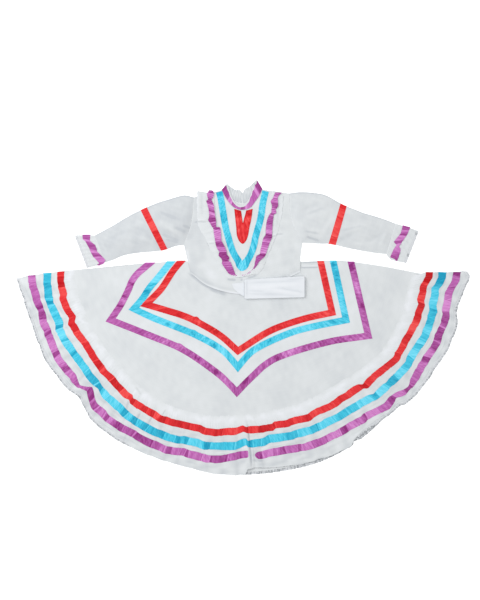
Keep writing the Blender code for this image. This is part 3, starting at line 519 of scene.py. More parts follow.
# distances from the waist centre by direction in degrees, of the ribbons' centre lines and the hems
skirt = {
    "centre": (0.0, 204.6), "waistHalf": 108.0, "waistY": 191.0, "waistSag": 5.0, "bandHeight": 25.0,
    "lines": ("direction", "red", "blue", "violet", "hem", "backHem"),
    "distances": (
        (182, 567, 606, 659, 701, 689), (184, 567, 607, 659, 700, 688), (190, 569, 616, 654, 691, 680),
        (196, 563, 608, 645, 687, 676), (208, 553, 597, 642, 682, 672), (220, 547, 591, 636, 670, 660),
        (232, 546, 593, 638, 677, 666), (244, 545, 591, 628, 666, 660), (256, 535, 577, 616, 656, 656),
        (268, 521, 564, 600, 641, 659), (280, 516, 552, 595, 637, 659), (292, 518, 559, 603, 645, 664),
        (304, 520, 563, 608, 650, 659), (316, 537, 581, 628, 661, 651), (328, 557, 598, 640, 678, 668),
        (340, 562, 606, 648, 689, 679), (347, 561, 607, 646, 690, 680), (353, 565, 606, 654, 692, 682),
        (357, 576, 617, 657, 699, 688), (359, 577, 618, 658, 700, 689),
    ),
    # where the straight top edge cuts each line, at the left and at the right
    "ends": {"panel": (182.9, 356.0), "heading": (182.7, 355.8), "red": (183.0, 356.9), "blue": (183.2, 357.1),
             "violet": (183.6, 357.3), "hem": (184.1, 357.6)},
    "leftEdge": ((-108, 191), (-150, 202), (-195, 208), (-294, 200), (-400, 189), (-540, 177)),
    "rightEdge": ((108, 191), (160, 203), (240, 208), (282, 209), (330, 206), (440, 190), (566, 166)),
    "foldHeight": 2.6, "folds": 11, "columns": 330, "rows": 96, "backColumns": 150,
    "foldFrom": 215, "foldTo": 462, "backMiddle": (180.6, 359.8, 300.0),
    "shade": {"all": -0.12, "betweenStars": 0.26, "insideStars": 0.04},
}
# creases of the front panel: x1, y1, x2, y2, half width, height
panelCreases = (
    (2, 110, -8, -66, 9, 0.9), (-4, -70, -10, -120, 7, 0.5),
    (-262, -62, -300, -128, 8, 0.8), (-288, -50, -322, -110, 10, -0.6),
    (88, -115, 150, -190, 10, 0.8), (104, -92, 180, -160, 9, -0.6), (60, -150, 82, -232, 8, 0.6),
    (-420, 150, -440, 40, 12, 0.7), (-455, 120, -470, 20, 9, -0.6), (-392, 110, -402, 60, 8, 0.5),
    (300, -70, 372, -110, 10, 0.7), (392, 60, 470, 30, 12, -0.6), (420, 120, 500, 118, 10, 0.6),
    (-120, -150, -170, -230, 12, 0.6), (-60, -190, -80, -260, 9, -0.5), (-240, 30, -90, 0, 12, 0.5),
    (60, 60, 180, 80, 14, 0.5), (-80, 60, -200, 120, 12, -0.5), (190, -150, 260, -215, 12, 0.7),
    (-330, -10, -420, -50, 10, 0.5), (240, 150, 250, 60, 9, 0.4), (350, 170, 420, 150, 9, 0.6),
    (176, 200, 236, 202, 2.5, -1.0), (176, 187, 238, 188, 2.5, -1.0), (176, 194, 236, 195, 3, 0.5),
)
# painted shade of the panel: the shadow beside the blouse's hem, and lines of painted shade and light along the
# waist seam: x1, y1, x2, y2, half width, tone
panelShades = (
    (-168, 171, -104, 123, 3.2, -1.5), (-134, 143, -78, 110, 3.2, -1.3), (-104, 122, -52, 104, 3.5, -1.7),
    (176, 187, 238, 188, 2.2, -1.6), (176, 192, 236, 193, 2.5, 0.6), (178, 202, 236, 204, 2.0, -1.2),
)
flounce = {
    "columns": 1200, "headingDepth": 40.0, "laceWidth": 9.0, "pleats": 40, "pleatLift": 1.9, "crest": 0.78,
    "step": 1.0, "lean": 0.8, "gatherHeight": 0.32, "scallop": 22.0, "scallopDepth": 0.5,
    "pleatSpan": (183.6, 357.2), "ribbonShare": {"red": 1.0, "blue": 1.11, "violet": 1.06},
    # along the lower left the hem is turned under with its lace, and beside it the cloth lies over the lace
    "turnedUnder": (236, 240, 270.4, 271.4), "overLace": (270.4, 271.4, 300, 308),
    # the front's cells between each two named rows, and how far each of those rows is from the seam
    "rowCounts": (6, 4, 4, 4, 4, 4, 4, 5), "depths": (-51, -31, -11, 11, 35, 57, 75, 97, 125),
    "backColumns": 500, "notch": (301.2, 301.6, 301.6, 304), "notchDepth": 7.0, "laceTuck": 1.35,
    # tone of its cloth: darker all over, streaks of painted shade and light along its gathers, and clouds
    "shade": -0.22, "streaks": 0.45, "clouds": 0.30,
    # tone of its ribbons, painted sheen and shade: placed facets, their fold lines, length and strength of facets
    # by chance, slant of both
    "facetTone": 1.1, "foldLine": 0.35, "chance": (1.6, 0.3), "slant": 0.22,
}
# large folds: directions of start, crest and end, height, and how far they push the hem outward
bigFolds = (
    (216.2, 219.0, 222.9, 6.0, -9), (240.2, 243.4, 244.2, 3.0, 1), (268.6, 271.6, 272.5, 6.5, 3),
    (313.4, 317.2, 318.2, 5.0, -6), (351.6, 354.0, 355.0, 4.0, -2),
)
# where each line turns at its folds: direction, and how far outward it stands there
kinks = {
    "red": (
        (183, -2), (188, -1), (190.2, -6), (191.4, 1), (194, 1), (196, -1), (198, -6), (199.6, 4), (203, 2),
        (206, -3), (207.5, -5), (210, -3), (216.6, -1), (217.6, 1), (221, -2), (229, 1), (230.4, -2), (231.2, 5),
        (233, 3), (238.6, 1), (239.6, 0), (242, 3), (244.5, 0), (251, -5), (255.5, -3), (257.5, 3), (261, 6),
        (265, 3), (268, 2), (270, -4), (271.4, 2), (275, 3), (280.2, 4), (281, -1), (285, 1), (289, -1),
        (293, 5), (294.4, 1), (298, 0), (301, 3), (303, 4), (305.5, -1), (310, -2), (313.4, -3), (314.5, 5),
        (316.5, 0), (319, -4), (322, -2), (327.5, 3), (332, -1), (334, -3), (338.5, 3), (341, 4), (344, 5),
        (346.5, 8), (347.8, 1), (350, 1), (352.4, -1), (353.5, 3), (355.4, 7), (357, 2),
    ),
    "blue": (
        (183, 1), (187, -3), (191, -6), (192, -4), (194.5, -4), (198.6, -6), (200.3, 2), (203, 3), (207, -1),
        (208, -1), (214, -4), (216.6, 0), (219, -2), (221, -2), (222.5, 1), (225, 1), (230, -2), (231.8, 2),
        (235, 2), (240, 1), (245, 1), (250, 1), (251.5, -3), (253, -1), (256.4, 1), (258.2, 7), (262, 5),
        (266, 5), (268, 5), (270, -3), (271, -4), (271.7, 5), (274, 6), (277, 6), (278.4, 1), (282, 4), (287, 3),
        (290.5, 1), (292, 3), (293.6, 1), (296.5, 3), (298, -1), (302.5, 3), (305, 0), (308, -1), (313, 1),
        (314.6, 6), (316, 4), (319, 1), (320.8, 3), (325, 3), (328.9, 2), (332, -4), (336, 0), (338, 4),
        (342, 1), (345.5, 3), (347.3, -6), (350, -4), (352.2, -4), (353.3, 3), (355.5, 7), (357, 2),
    ),
    "violet": (
        (183, -4), (185.6, -3), (190, -5), (192, -5), (193.8, -5), (197, 2), (199.4, -2), (200.8, 0), (204, 1),
        (206, 1), (207.4, 4), (209.8, 1), (211.3, 1), (214, -4), (215.4, 0), (217, 2), (218.4, -9), (219.6, -19),
        (221.5, -8), (223, 1), (224, 4), (227, 0), (229, 2), (233, 0), (237.8, -4), (238.6, -1), (241, 1),
        (246, 2), (248, 4), (252.6, -4), (254, 0), (257.5, 3), (259.6, 9), (262, 10), (264, 9), (266.5, 3),
        (269.5, -2), (271.5, -3), (272.2, 2), (274.6, 5), (278, 2), (286, 1), (288, 4), (292, 2), (301, 1),
        (306, 0), (307.4, 0), (308.3, -5), (312, 0), (315, 4), (318.4, -6), (321.2, 8), (323.5, 11), (324.6, 8),
        (328, 0), (331, 0), (332.6, -3), (337.4, 3), (341, -1), (344.5, 6), (345.4, 5), (346.4, 0), (349.4, -4),
        (351, -8), (353, -4), (355, 6), (357, 7),
    ),
    "hem": (
        (183.5, 5), (185.5, 1), (190, -2), (196, -4), (202, -3), (206, 1), (211, -2), (214, -1), (219, -5),
        (221.4, -1), (223.4, 0), (226, 5), (231, 0), (252, 0), (257, 4), (262, 15), (268, 20), (270.7, 18),
        (271.3, 0), (275, 3), (279, 8), (284, 11), (289.5, 13), (290.8, 9), (293, 13), (300.5, 14), (302, 2),
        (304, 0), (308, -5), (311, -4), (314, -2), (318, 2), (322.3, 7), (327, 2), (332.4, -1), (337, 4),
        (341.2, 2), (344.4, 2), (345.4, -3), (347.3, -13), (349, -10), (351, -6), (353.2, 1), (355.4, 8),
        (356.5, 7), (357.5, -3),
    ),
}
# where a ribbon is drawn narrow by a fold: direction, reach before and after it in degrees, share lost
pinches = {
    "red": ((230.8, 0.7, 0.7, 0.2), (270.8, 1.2, 1.2, 0.25), (313.9, 0.7, 0.7, 0.2), (353.6, 1.0, 1.0, 0.1)),
    "blue": (
        (221.4, 1.4, 1.4, 0.35), (271.4, 0.9, 0.9, 0.2), (314.8, 0.8, 0.8, 0.15), (319.8, 0.8, 0.8, 0.2),
        (192, 0.7, 0.7, 0.15),
    ),
    "violet": (
        (217.4, 2.0, 2.0, 0.5), (271.7, 0.1, 1.4, 0.98), (272.9, 1.0, 1.0, 1.0),
        (322.6, 1.7, 1.7, 0.55), (318.4, 0.9, 0.9, 0.3), (193.4, 0.8, 0.8, 0.2),
    ),
}
# painted sheen and shade of the ribbons' facets, from one direction to another: 1 is the lightest, -1 the darkest
facets = {
    "red": (
        (183, 184.7, 0.1), (184.7, 187.8, -0.9), (188, 194.5, 0.3), (195, 202.4, -0.2), (202.8, 206.7, 0.4),
        (207, 213.5, -0.2), (214, 217, -0.6), (218, 221.5, -0.3), (222, 226.5, -0.8), (226.5, 230.6, 0.15),
        (230.8, 232.2, -0.8), (232.4, 237, -0.3), (238.5, 239.6, -0.8), (240, 241.5, 0.3), (241.6, 243.8, -0.6),
        (246, 252, -0.5), (255, 257, -0.3), (260.5, 263, -0.55), (265, 270, 0), (270.2, 271.6, -0.6),
        (275, 280, -0.8), (280.2, 281, -0.6), (283, 290, -0.1), (291, 293.6, -0.45), (295, 301, 0.3),
        (305, 308, -0.3), (313.2, 315.2, -0.6), (317, 320, 0.25), (324, 329.5, -0.3), (329.8, 332.5, 0),
        (332.8, 336.4, -0.5), (337.5, 341, 0.5), (341.3, 347, -0.5), (347.3, 349.6, 0.5), (350, 352.7, -0.3),
        (353.6, 357.2, -1.2),
    ),
    "blue": (
        (184, 190.4, -0.5), (191.4, 192.4, -0.9), (192.5, 194.7, -0.1), (195, 198.4, 0.2), (198.8, 199.8, -0.8),
        (200, 203, 0.5), (203.3, 203.9, -0.5), (204.2, 207.7, 0.5), (208, 208.7, -0.5), (209, 214.5, 0.2),
        (216, 219.5, -0.8), (220, 222, -0.9), (223, 230, 0.5), (231, 232.4, -0.7), (232.5, 234.3, 0.4),
        (234.5, 236.2, -0.6), (236.3, 238, 0.2), (238, 239.8, -0.5), (240.2, 245.4, -0.55), (246.5, 248.6, 0.2),
        (249, 252.8, -0.5), (253, 257.5, 0.45), (257.8, 259.8, -0.7), (261.4, 267.2, -0.1), (267.5, 270.6, 0),
        (270.9, 272.9, -0.7), (273, 275.4, -0.1), (276, 278.4, -0.35), (279, 283, -0.1), (284, 287.5, -0.3),
        (288, 291.5, 0.2), (292.2, 294.3, -0.6), (295, 300, 0.45), (301, 304.6, -0.1), (305.5, 308.5, -0.1),
        (308.7, 313.5, 0.5), (314, 315.3, -0.7), (315.5, 319, 0.5), (319.5, 323, -0.6),
        (323.5, 326.5, 0.5), (327, 330.3, -0.2),
        (330.5, 333, 0.5), (333.4, 335, -0.3), (335.2, 336.4, 0.4), (336.6, 338.4, 0.1), (338.7, 341, 0.5),
        (341.3, 346, -0.3), (346.5, 349, 0.4), (349.2, 352.3, 0), (352.5, 357.3, -0.8),
    ),
    "violet": (
        (184, 185.7, 0.5), (185.8, 192, 0.15), (192.2, 193, -0.9), (194, 195.9, -0.5), (196.4, 199, 0.2),
        (199.6, 200.4, -0.6), (200.8, 205.2, 0.2), (205.5, 206.7, -0.8), (207, 209.2, 0.4), (210.3, 211.8, -0.7),
        (212, 215.5, 0.1), (216, 219.2, -0.2), (219.5, 222.3, -0.9), (223, 224.8, -0.4), (225, 227.5, 0.1),
        (228, 229.2, -0.6), (229.6, 230.8, 0.1), (231, 234, -0.5), (234.5, 237.4, -0.4), (238, 243.3, -0.8),
        (243.7, 247, -0.1), (247.8, 249.2, -0.8), (250, 252.8, -0.1), (253.2, 254, -0.7), (254.4, 258, -0.2),
        (260.5, 264.5, -0.4), (264.7, 265.4, -0.7), (265.6, 271.3, -0.35), (272.2, 275.6, -0.75), (276, 280, 0.1),
        (281, 282.6, -0.5), (283, 286, 0), (286.4, 287.4, -0.5), (288, 291, 0.1), (291.5, 295.4, -0.2),
        (296, 299.5, 0.25), (300, 302, -0.9), (302.5, 307.2, 0.3), (307.4, 308.5, -0.5),
        (308.7, 312.6, 0.6), (312.8, 315.8, -0.2), (316, 318.3, -0.9), (318.5, 321, 0.2),
        (321.2, 323.6, -0.5), (324, 331, 0.05), (331.2, 332.6, -0.8),
        (332.8, 335, 0.4), (335.2, 337.4, -0.6), (338, 341.6, -0.5), (341.8, 342.3, 0.4), (342.5, 346, -0.45),
        (346.4, 349.4, 0.65), (349.8, 353, 0.1), (353.2, 356, 0.1), (356.2, 357.5, -1.0),
    ),
}
# soft painted shade and light of the flounce's white bands at their folds: x1, y1, x2, y2, half width, tone
bandShades = (
    (15, -300, 20, -352, 2.5, -1.1), (19, -352, 27, -424, 3, -1.9), (30, -395, 60, -412, 7, -0.6),
    (27, -409, 70, -414, 2.5, -1.3), (40, -425, 140, -415, 5, -0.45), (-40, -420, 10, -428, 6, -0.35),
    (-354, -223, -366, -270, 3, -1.3), (-335, -180, -313, -208, 2.5, -1.0), (-292, -293, -277, -266, 2.5, -1.3),
    (-254, -276, -239, -251, 2.5, -1.1), (-346, -214, -330, -190, 3, 0.7), (-268, -262, -258, -300, 3, -0.8),
    (-318, -262, -330, -288, 2.5, -0.9), (-150, -338, -156, -372, 2.5, -0.8), (-60, -405, 8, -412, 3, -0.4),
    (120, -404, 240, -372, 4, -0.35), (180, -402, 300, -362, 3, -0.3),
)
# creases of the flounce's white bands: x1, y1, x2, y2, half width, height
bandCreases = (
    (-30, -215, -52, -300, 3, 0.7), (12, -190, 16, -262, 3, -0.9), (14, -290, 21, -352, 2, -2.0),
    (22, -340, 28, -420, 2.2, -3.0), (26, -352, 33, -450, 4, 2.2), (34, -380, 42, -440, 4, -1.4),
    (34, -392, 80, -410, 5, 1.2),
    (-270, -196, -286, -230, 3, 0.8), (-296, -222, -312, -262, 3, 1.0), (-316, -262, -330, -290, 3, -0.8),
    (-480, -150, -460, -196, 4, 1.2), (-505, -195, -470, -210, 4, -1.0), (-440, -105, -468, -150, 3, 0.7),
    (-520, 35, -560, 14, 3, 0.6), (-545, -20, -580, -36, 3, 0.6), (-600, 20, -640, 2, 3, 0.7),
    (-404, -80, -430, -108, 3, 0.6), (-350, -330, -372, -366, 4, 0.8), (-190, -330, -204, -372, 3, 0.6),
    (-120, -360, -128, -420, 3, 0.7), (120, -290, 128, -340, 3, 0.7), (206, -262, 222, -316, 3, 0.8),
    (320, -330, 346, -372, 4, 1.0), (372, -176, 396, -212, 3, 1.0), (420, -150, 470, -196, 5, 1.2),
    (446, -190, 486, -212, 4, -0.9), (470, -72, 506, -88, 3, 0.6), (540, 20, 582, 12, 3, 0.7),
    (556, 122, 600, 132, 4, 1.0), (600, 110, 660, 120, 4, 0.8), (640, 30, 676, 24, 3, 0.9),
    (-640, 150, -660, 90, 4, 0.6), (250, -380, 300, -402, 5, 0.9), (-60, -410, -20, -448, 6, 0.8),
)


def polar(direction, distance):
    angle = np.radians(direction)
    x = skirt["centre"][0] + distance * np.cos(angle)
    return np.stack([x, skirt["centre"][1] + distance * np.sin(angle)], axis=-1)


def distanceAt(direction, line):
    table = np.array(skirt["distances"], float)
    curve = smoothly(table[:, [0, skirt["lines"].index(line)]], 600)
    return np.interp(direction, curve[:, 0], curve[:, 1])


def directionOf(at, ends):
    left, right = skirt["ends"][ends]
    return left + (right - left) * at


def flounceLine(at, ends, line, extra):
    direction = directionOf(at, ends)
    return polar(direction, distanceAt(direction, line) + extra)


# knots along the flounce: every pleat rises slowly from its foot to its crest and drops quickly to the next;
# each knot has its direction, its height and how far it pushes the ribbons and the hem outward
def pleatKnots():
    first, last = flounce["pleatSpan"]
    edges = [first] + [edge for start, _, end, *_ in bigFolds for edge in (start, end)] + [last]
    spans = list(zip(edges[::2], edges[1::2]))
    free = sum(b - a for a, b in spans)
    knots = []
    number = 0
    for index, (a, b) in enumerate(spans):
        count = max(1, round(flounce["pleats"] * (b - a) / free))
        wide = (b - a) / count
        for k in range(count):
            begin = a + k * wide + (0.16 * wide * math.sin(2.3 * number) if k else 0.0)
            end = a + (k + 1) * wide + (0.16 * wide * math.sin(2.3 * (number + 1)) if k < count - 1 else 0.0)
            lift = flounce["pleatLift"] * (1 + 0.30 * math.sin(1.7 * number) + 0.16 * math.sin(4.1 * number))
            step = flounce["step"] * math.sin(3.1 * number + 0.6)
            lean = flounce["lean"] * math.sin(1.3 * number + 2.0)
            knots.append((begin, 0.0) + (step - lean,) * 2)
            knots.append((begin + flounce["crest"] * (end - begin), lift) + (step + lean,) * 2)
            number += 1
        if index < len(bigFolds):
            start, crest, _, lift, push = bigFolds[index]
            knots += [(start, 0.0, 0.0, 0.0), (crest, lift, 0.0, push)]
    return np.array(knots + [(last, 0.0, 0.0, 0.0)])


share = np.linspace(0.0, 1.0, flounce["columns"])


# values at directions carried to every column, with their corners rounded
def rounded(values, directions, first, last):
    at = (directions - first) / (last - first)
    return softened(np.interp(share, at, values), 1.1, 4, mode="edge")


knots = pleatKnots()
pleatLift, ribbonPush, hemPush = (rounded(knots[:, k], knots[:, 0], knots[0, 0], knots[-1, 0]) for k in (1, 2, 3))
hemDirection = directionOf(share, "hem")
turnedUnder, overLace = window(hemDirection, *flounce["turnedUnder"]), window(hemDirection, *flounce["overLace"])


# how far a line stands out, at its pleats and at its own folds; the heading follows the latter only in part
def standOut(line, follow=1.0):
    turns, pushes = np.array(kinks[line], float).T
    pleats = hemPush if line == "hem" else ribbonPush
    return pleats + rounded(pushes, turns, *skirt["ends"][line]) * follow


# share of a ribbon's width that is left, with a slow unevenness
def widthOf(line):
    direction = directionOf(share, line)
    lost = 0.0
    for at, before, after, part in pinches[line]:
        lost = lost + part * np.exp(-((direction - at) / np.where(direction < at, before, after)) ** 2)
    uneven = 1 + 0.05 * ripple(direction, 0 * direction, 4.0, len(line))
    return flounce["ribbonShare"][line] * np.clip(1.0 - lost, 0.04, 1.0) * uneven


# rows of the flounce between its named lines: ends, line, side of a ribbon, reach beyond it, share of the
# pleats' lift and foot height
anchorRows = (
    ("heading", "red", -1, -flounce["headingDepth"], 0.30, levels["overFront"]),
    ("heading", "red", -1, -20.0, 0.45, levels["overFront"]),
    ("red", "red", -1, 0.0, 0.55, levels["overFront"]),
    ("red", "red", 1, 0.0, 0.60, levels["overFront"]),
    ("blue", "blue", -1, 0.0, 0.80, levels["front"]),
    ("blue", "blue", 1, 0.0, 0.85, levels["front"]),
    ("violet", "violet", -1, 0.0, 0.92, levels["front"]),
    ("violet", "violet", 1, 0.0, 0.96, levels["front"]),
    ("hem", "hem", 0, -flounce["laceWidth"] - walls["gap"], 1.0, levels["front"]),
)


# plan of a named row: the line's own distance, pushed by its pleats and kinks, and half a ribbon to its side
def anchorLine(ends, line, side, reach):
    if line == "hem":
        reach = reach + flounce["laceWidth"] * (turnedUnder + 0.9 * overLace)
    extra = standOut(line, 0.35 if ends == "heading" else 1.0) + reach
    if side:
        steps = chanceTone(8.0 * directionOf(share, line), 15.0, 300 + 7 * len(line) + side, 1.0)
        extra = extra + side * ribbons["wide"] / 2 * widthOf(line) + 0.7 * steps
    return flounceLine(share, ends, line, extra)


# soft folds of the panel: waves by direction, fading out under the blouse and under the flounce
def panelHeight(plan):
    x, y = xy(plan)
    away = plan - skirt["centre"]
    distance = np.hypot(away[..., 0], away[..., 1])
    direction = np.arctan2(-away[..., 1], away[..., 0])
    wave = 0.5 + 0.5 * np.sin(skirt["folds"] * direction + 1.2 * np.sin(3 * direction))
    inside = np.clip((distance - skirt["foldFrom"]) / 90, 0, 1) * np.clip((skirt["foldTo"] - distance) / 80, 0, 1)
    fine = creases(x, y, panelCreases) + unevenAt(x, y, "panel")
    folds = skirt["foldHeight"] * wave * inside + fine * np.clip(inside + 0.15, 0, 1)
    return levels["front"] + walls["cloth"] + folds


def makeFlounce():
    counts = flounce["rowCounts"]
    plan = fillRows([anchorLine(*row[:4]) for row in anchorRows], counts)
    foot = fillRows([base + pleatLift * part for *_, part, base in anchorRows], counts)
    depth = fillRows(np.array(flounce["depths"], float)[:, None], counts)
    run = runOf(plan[14])
    still = 0 * run
    x, y = xy(plan)
    # small gathers, strongest at the seam under the red ribbon and dying out in both directions, here and there
    patchy = 0.35 + 0.65 * ease(ripple(run, still, 90.0, 6), -0.5, 0.6)
    strength = flounce["gatherHeight"] * (0.15 + 0.85 * np.exp(-((depth + 12) / 30) ** 2)) * patchy
    long = gathersAt(run + 0.25 * depth, "flounceLong") * ease(depth, 0, 90)
    relief = strength * gathersAt(run, "flounce") + long + unevenAt(x, y, "flounce") + creases(x, y, bandCreases)
    # the heading's free edge: uneven little waves, ragged and thin
    plan = plan + unit(plan - skirt["centre"]) * (gathersAt(run, "headingEdge") * ease(-depth, 34, 51))[..., None]
    flush = ease(-depth, 30, 50)
    sunk = panelHeight(plan) - 0.12 + gathersAt(run, "headingSunk")
    top = (foot + walls["cloth"] + relief) * (1 - flush) + sunk * flush
    # tone: soft clouds, and streaks of painted shade and light that run with the gathers
    soft = unevenAt(x, y, "flounceTone") + 0.16 * ripple(directionOf(share, "red"), still, 3.0, 41)
    streaks = flounce["streaks"] * ripple(0.22 * run + 0 * depth, depth + 0 * x, 9.0, 71)
    streaks = streaks + flounce["clouds"] * ripple(x, y, 34.0, 72)
    # the heading shows as a soft white band with ragged sides, and fine lines of painted shade and light run up
    # from the seam in places
    wander = gathersAt(run, "headingBand") + 3.5 * ripple(x, y, 16.0, 73)
    much = 0.32 + 0.42 * ease(ripple(run, still, 70.0, 16), -0.4, 0.5)
    wide = 12 + 5 * ripple(run, still, 55.0, 18)
    band = much * np.exp(-((depth + 32 + wander) / wide) ** 2) + 0.10 * ease(-depth, 8, 14) * (1 - flush)
    lines = gathersAt(run, "seamLines") * patchy * np.exp(-((depth + 15) / 9) ** 2)
    tone = (soft + streaks + flounce["shade"]) * ease(depth, 4, 30) + band + lines + creases(x, y, bandShades)
    surface = stack(plan, top)
    addPiece("flounceFront", surface, "white_poplin", walls["gathered"], tone)
    for colour, row in (("red", 10), ("blue", 18), ("violet", 26)):
        strip = surface[row:row + 5].copy()
        strip[..., 2] += walls["gap"] + walls["ribbon"] - 1.4 * (1 - ease(widthOf(colour), 0.06, 0.3))
        direction = directionOf(share, colour)
        across = np.linspace(-1.0, 1.0, 5)[:, None]
        direction = direction + flounce["slant"] * across * np.sin(0.9 * direction + row)
        length, strength = flounce["chance"]
        tone = flounce["facetTone"] * placedTone(direction, facets[colour], line=flounce["foldLine"])
        tone = tone + chanceTone(direction, length, row, strength)
        addPiece(f"flounceRibbon{colour.capitalize()}", strip, f"{colour}_satin", walls["ribbon"], tone)
    makeHemLace(top[-1])


# a hem's lace with its scalloped outer edge: its plan, the share across it and its run
def hemLace(at, line, reach, shown=1.0):
    edge, outer = (flounceLine(at, "hem", line, reach - back) for back in (flounce["laceWidth"], 0.0))
    run = runOf(outer)
    scallop = scallops(run, flounce["scallop"], flounce["scallopDepth"]) * shown
    return *between(edge, outer + unit(outer - edge) * scallop[:, None], 5), run


# lace at the front's hem, turned under along the lower left
def makeHemLace(hemTop):
    shown = 1 - turnedUnder
    plan, t, run = hemLace(share, "hem", standOut("hem"), shown)
    plan = plan - unit(plan[-1] - plan[0]) * (flounce["laceTuck"] * turnedUnder)[:, None]
    height = hemTop - 0.2 + t * gathersAt(run, "hemLace") - 0.8 * (turnedUnder + overLace)
    addPiece("hemLaceFront", stack(plan, height), "white_lace", walls["lace"], ease(t, 0.3, 0.6) * shown)


makeFlounce()
print("flounce made")


# Skirt panels, star ribbons and waistband

# centre lines of the star ribbons, from the left of the top edge round to the right; one arm per row
star = {
    "red": (
        ((-190, 209), (-218, 175), (-251, 124), (-281, 92), (-300, 73)),
        ((-300, 73), (-242, 56), (-167, 31), (-76, -19), (-16, -71)),
        ((-16, -71), (65, -19), (119, 6), (198, 31), (276, 48)),
        ((276, 48), (240, 208)),
    ),
    "blue": (
        ((-222, 207), (-258, 162), (-289, 125), (-312, 90), (-338, 60)),
        ((-338, 60), (-277, 31), (-152, -19), (-65, -68), (-16, -121)),
        ((-16, -121), (34, -68), (136, -19), (215, 4), (319, 25)),
        ((319, 25), (279, 209)),
    ),
    "violet": (
        ((-286, 203), (-335, 159), (-356, 116), (-379, 71), (-410, 25)),
        ((-410, 25), (-299, -19), (-184, -68), (-74, -144), (-19, -199)),
        ((-19, -199), (34, -145), (103, -93), (260, -44), (388, -24)),
        ((388, -24), (334, 206)),
    ),
}
# how its ribbons are drawn
starForm = {
    # spans of each arm, finer points in each span, lines across, share of their full width
    "spans": (8, 12, 12, 8), "fine": 12, "across": 6, "width": 0.93,
    "seeds": {"red": 51, "blue": 63, "violet": 78}, "tone": {"red": 0.0, "blue": 0.15, "violet": -0.15},
    # small humps of their edges at creases of the panel: x, y, height, half width
    "humps": {"red": ((-141, 32, 5, 7),), "blue": ((-150, -12, 3, 8),),
              "violet": ((-190, -48, 4, 9), (-46, -166, -3, 8))},
    # relief: strength and size of their gathers and of their unevenness
    "gathers": (0.16, 13.0), "unevenness": (0.12, 12.0),
    # tone: strength and length of two sorts of facets of painted sheen and shade, then strength, size and added
    # seed of the crinkles, painted as small glints and shade
    "facets": ((0.45, 26.0), (0.30, 7.0)), "foldLine": 0.4, "crinkles": ((0.30, 11.0, 0), (0.35, 4.5, 2)),
}
# painted shade of folds and painted glints of the star ribbons, darker and lighter: x1, y1, x2, y2, half width,
# tone
starShades = (
    (-356, 143, -332, 131, 4, -1.1), (-380, 101, -358, 96, 3.5, -0.9), (-392, 70, -367, 66, 3.5, -1.2),
    (-374, 90, -364, 78, 6, 0.7), (-330, 162, -305, 180, 6, 0.4), (-316, 118, -286, 110, 7, -0.9),
    (-290, 140, -240, 185, 9, 0.4), (-287, 98, -266, 106, 6, -0.7), (-206, 44, -192, 36, 5, -0.8),
    (-146, 26, -128, 14, 6, 0.9), (-100, -2, -62, -24, 6, -0.7), (-242, 16, -222, 6, 5, -1.0),
    (-164, -10, -146, -24, 3, -0.8), (-104, -46, -78, -62, 5, -0.6), (-150, -88, -134, -100, 5, -1.1),
    (-336, -4, -308, -18, 6, -0.4), (-94, -128, -70, -144, 5, -0.9), (-200, -52, -178, -62, 5, 0.5),
    (246, 200, 262, 110, 9, -0.6), (276, 66, 280, 46, 8, -0.6), (277, 206, 281, 192, 9, -1.0),
    (286, 178, 294, 140, 8, -0.6), (297, 130, 306, 60, 9, 0.6), (262, 22, 290, 18, 5, -0.8),
    (74, -46, 90, -34, 4, -0.9), (-4, -102, 14, -84, 5, -0.8), (334, 204, 338, 176, 9, -1.0),
    (345, 150, 362, 96, 5, 0.8), (366, 84, 372, 60, 5, -0.6), (320, -30, 360, -24, 4, -0.7),
    (136, -76, 168, -66, 6, 0.5), (100, -98, 114, -88, 4, -1.0), (-2, -172, 20, -150, 6, -0.8),
    (350, 120, 356, 112, 3, -0.8), (300, 160, 306, 150, 3, 0.6), (30, -80, 60, -62, 5, 0.5),
)


def inPolygon(x, y, corners):
    inside = np.zeros(np.shape(x), bool)
    for (x1, y1), (x2, y2) in zip(corners, np.roll(corners, -1, axis=0)):
        if y1 != y2:
            inside ^= ((y1 > y) != (y2 > y)) & (x < (x2 - x1) * (y - y1) / (y2 - y1) + x1)
    return inside


# coarse centre line of a star ribbon and both its smooth edges
def starLines(colour):
    spans, fine = starForm["spans"], starForm["fine"]
    line = joined([smoothly(arm, n + 1) for arm, n in zip(star[colour], spans)])
    counts = [n * fine + 1 for n in spans]
    return line, ribbonEdges(line, spans, counts, starForm["width"] * ribbons["wide"], (1.0, 0.0))


# the waist seam, sagging in the middle: from -1 at its left end to 1 at its right
def waistLine(count, rise=0.0):
    u = np.linspace(-1.0, 1.0, count)
    sag = skirt["waistSag"] * (1 - u**2)
    return np.column_stack([skirt["waistHalf"] * u, skirt["waistY"] - sag + rise])


def makeFrontPanel():
    columns, rows = skirt["columns"], skirt["rows"]
    direction = directionOf(np.linspace(0.0, 1.0, columns), "panel")
    rim = polar(direction, distanceAt(direction, "red") - 3.0)
    left = smoothly(skirt["leftEdge"][:-1] + (tuple(rim[0]),), rows)
    right = smoothly(skirt["rightEdge"][:-1] + (tuple(rim[-1]),), rows)
    plan = patch(waistLine(columns), rim, left, right)
    x, y = xy(plan)
    outer, inside = (inPolygon(x, y, starLines(colour)[0]) for colour in ("violet", "red"))
    shade = skirt["shade"]
    tone = unevenAt(x, y, "panelTone") + creases(x, y, panelShades)
    tone = tone + shade["all"] + shade["betweenStars"] * (outer & ~inside) + shade["insideStars"] * inside
    addPiece("skirtFront", stack(plan, panelHeight(plan)), "white_poplin", walls["shown"], tone)


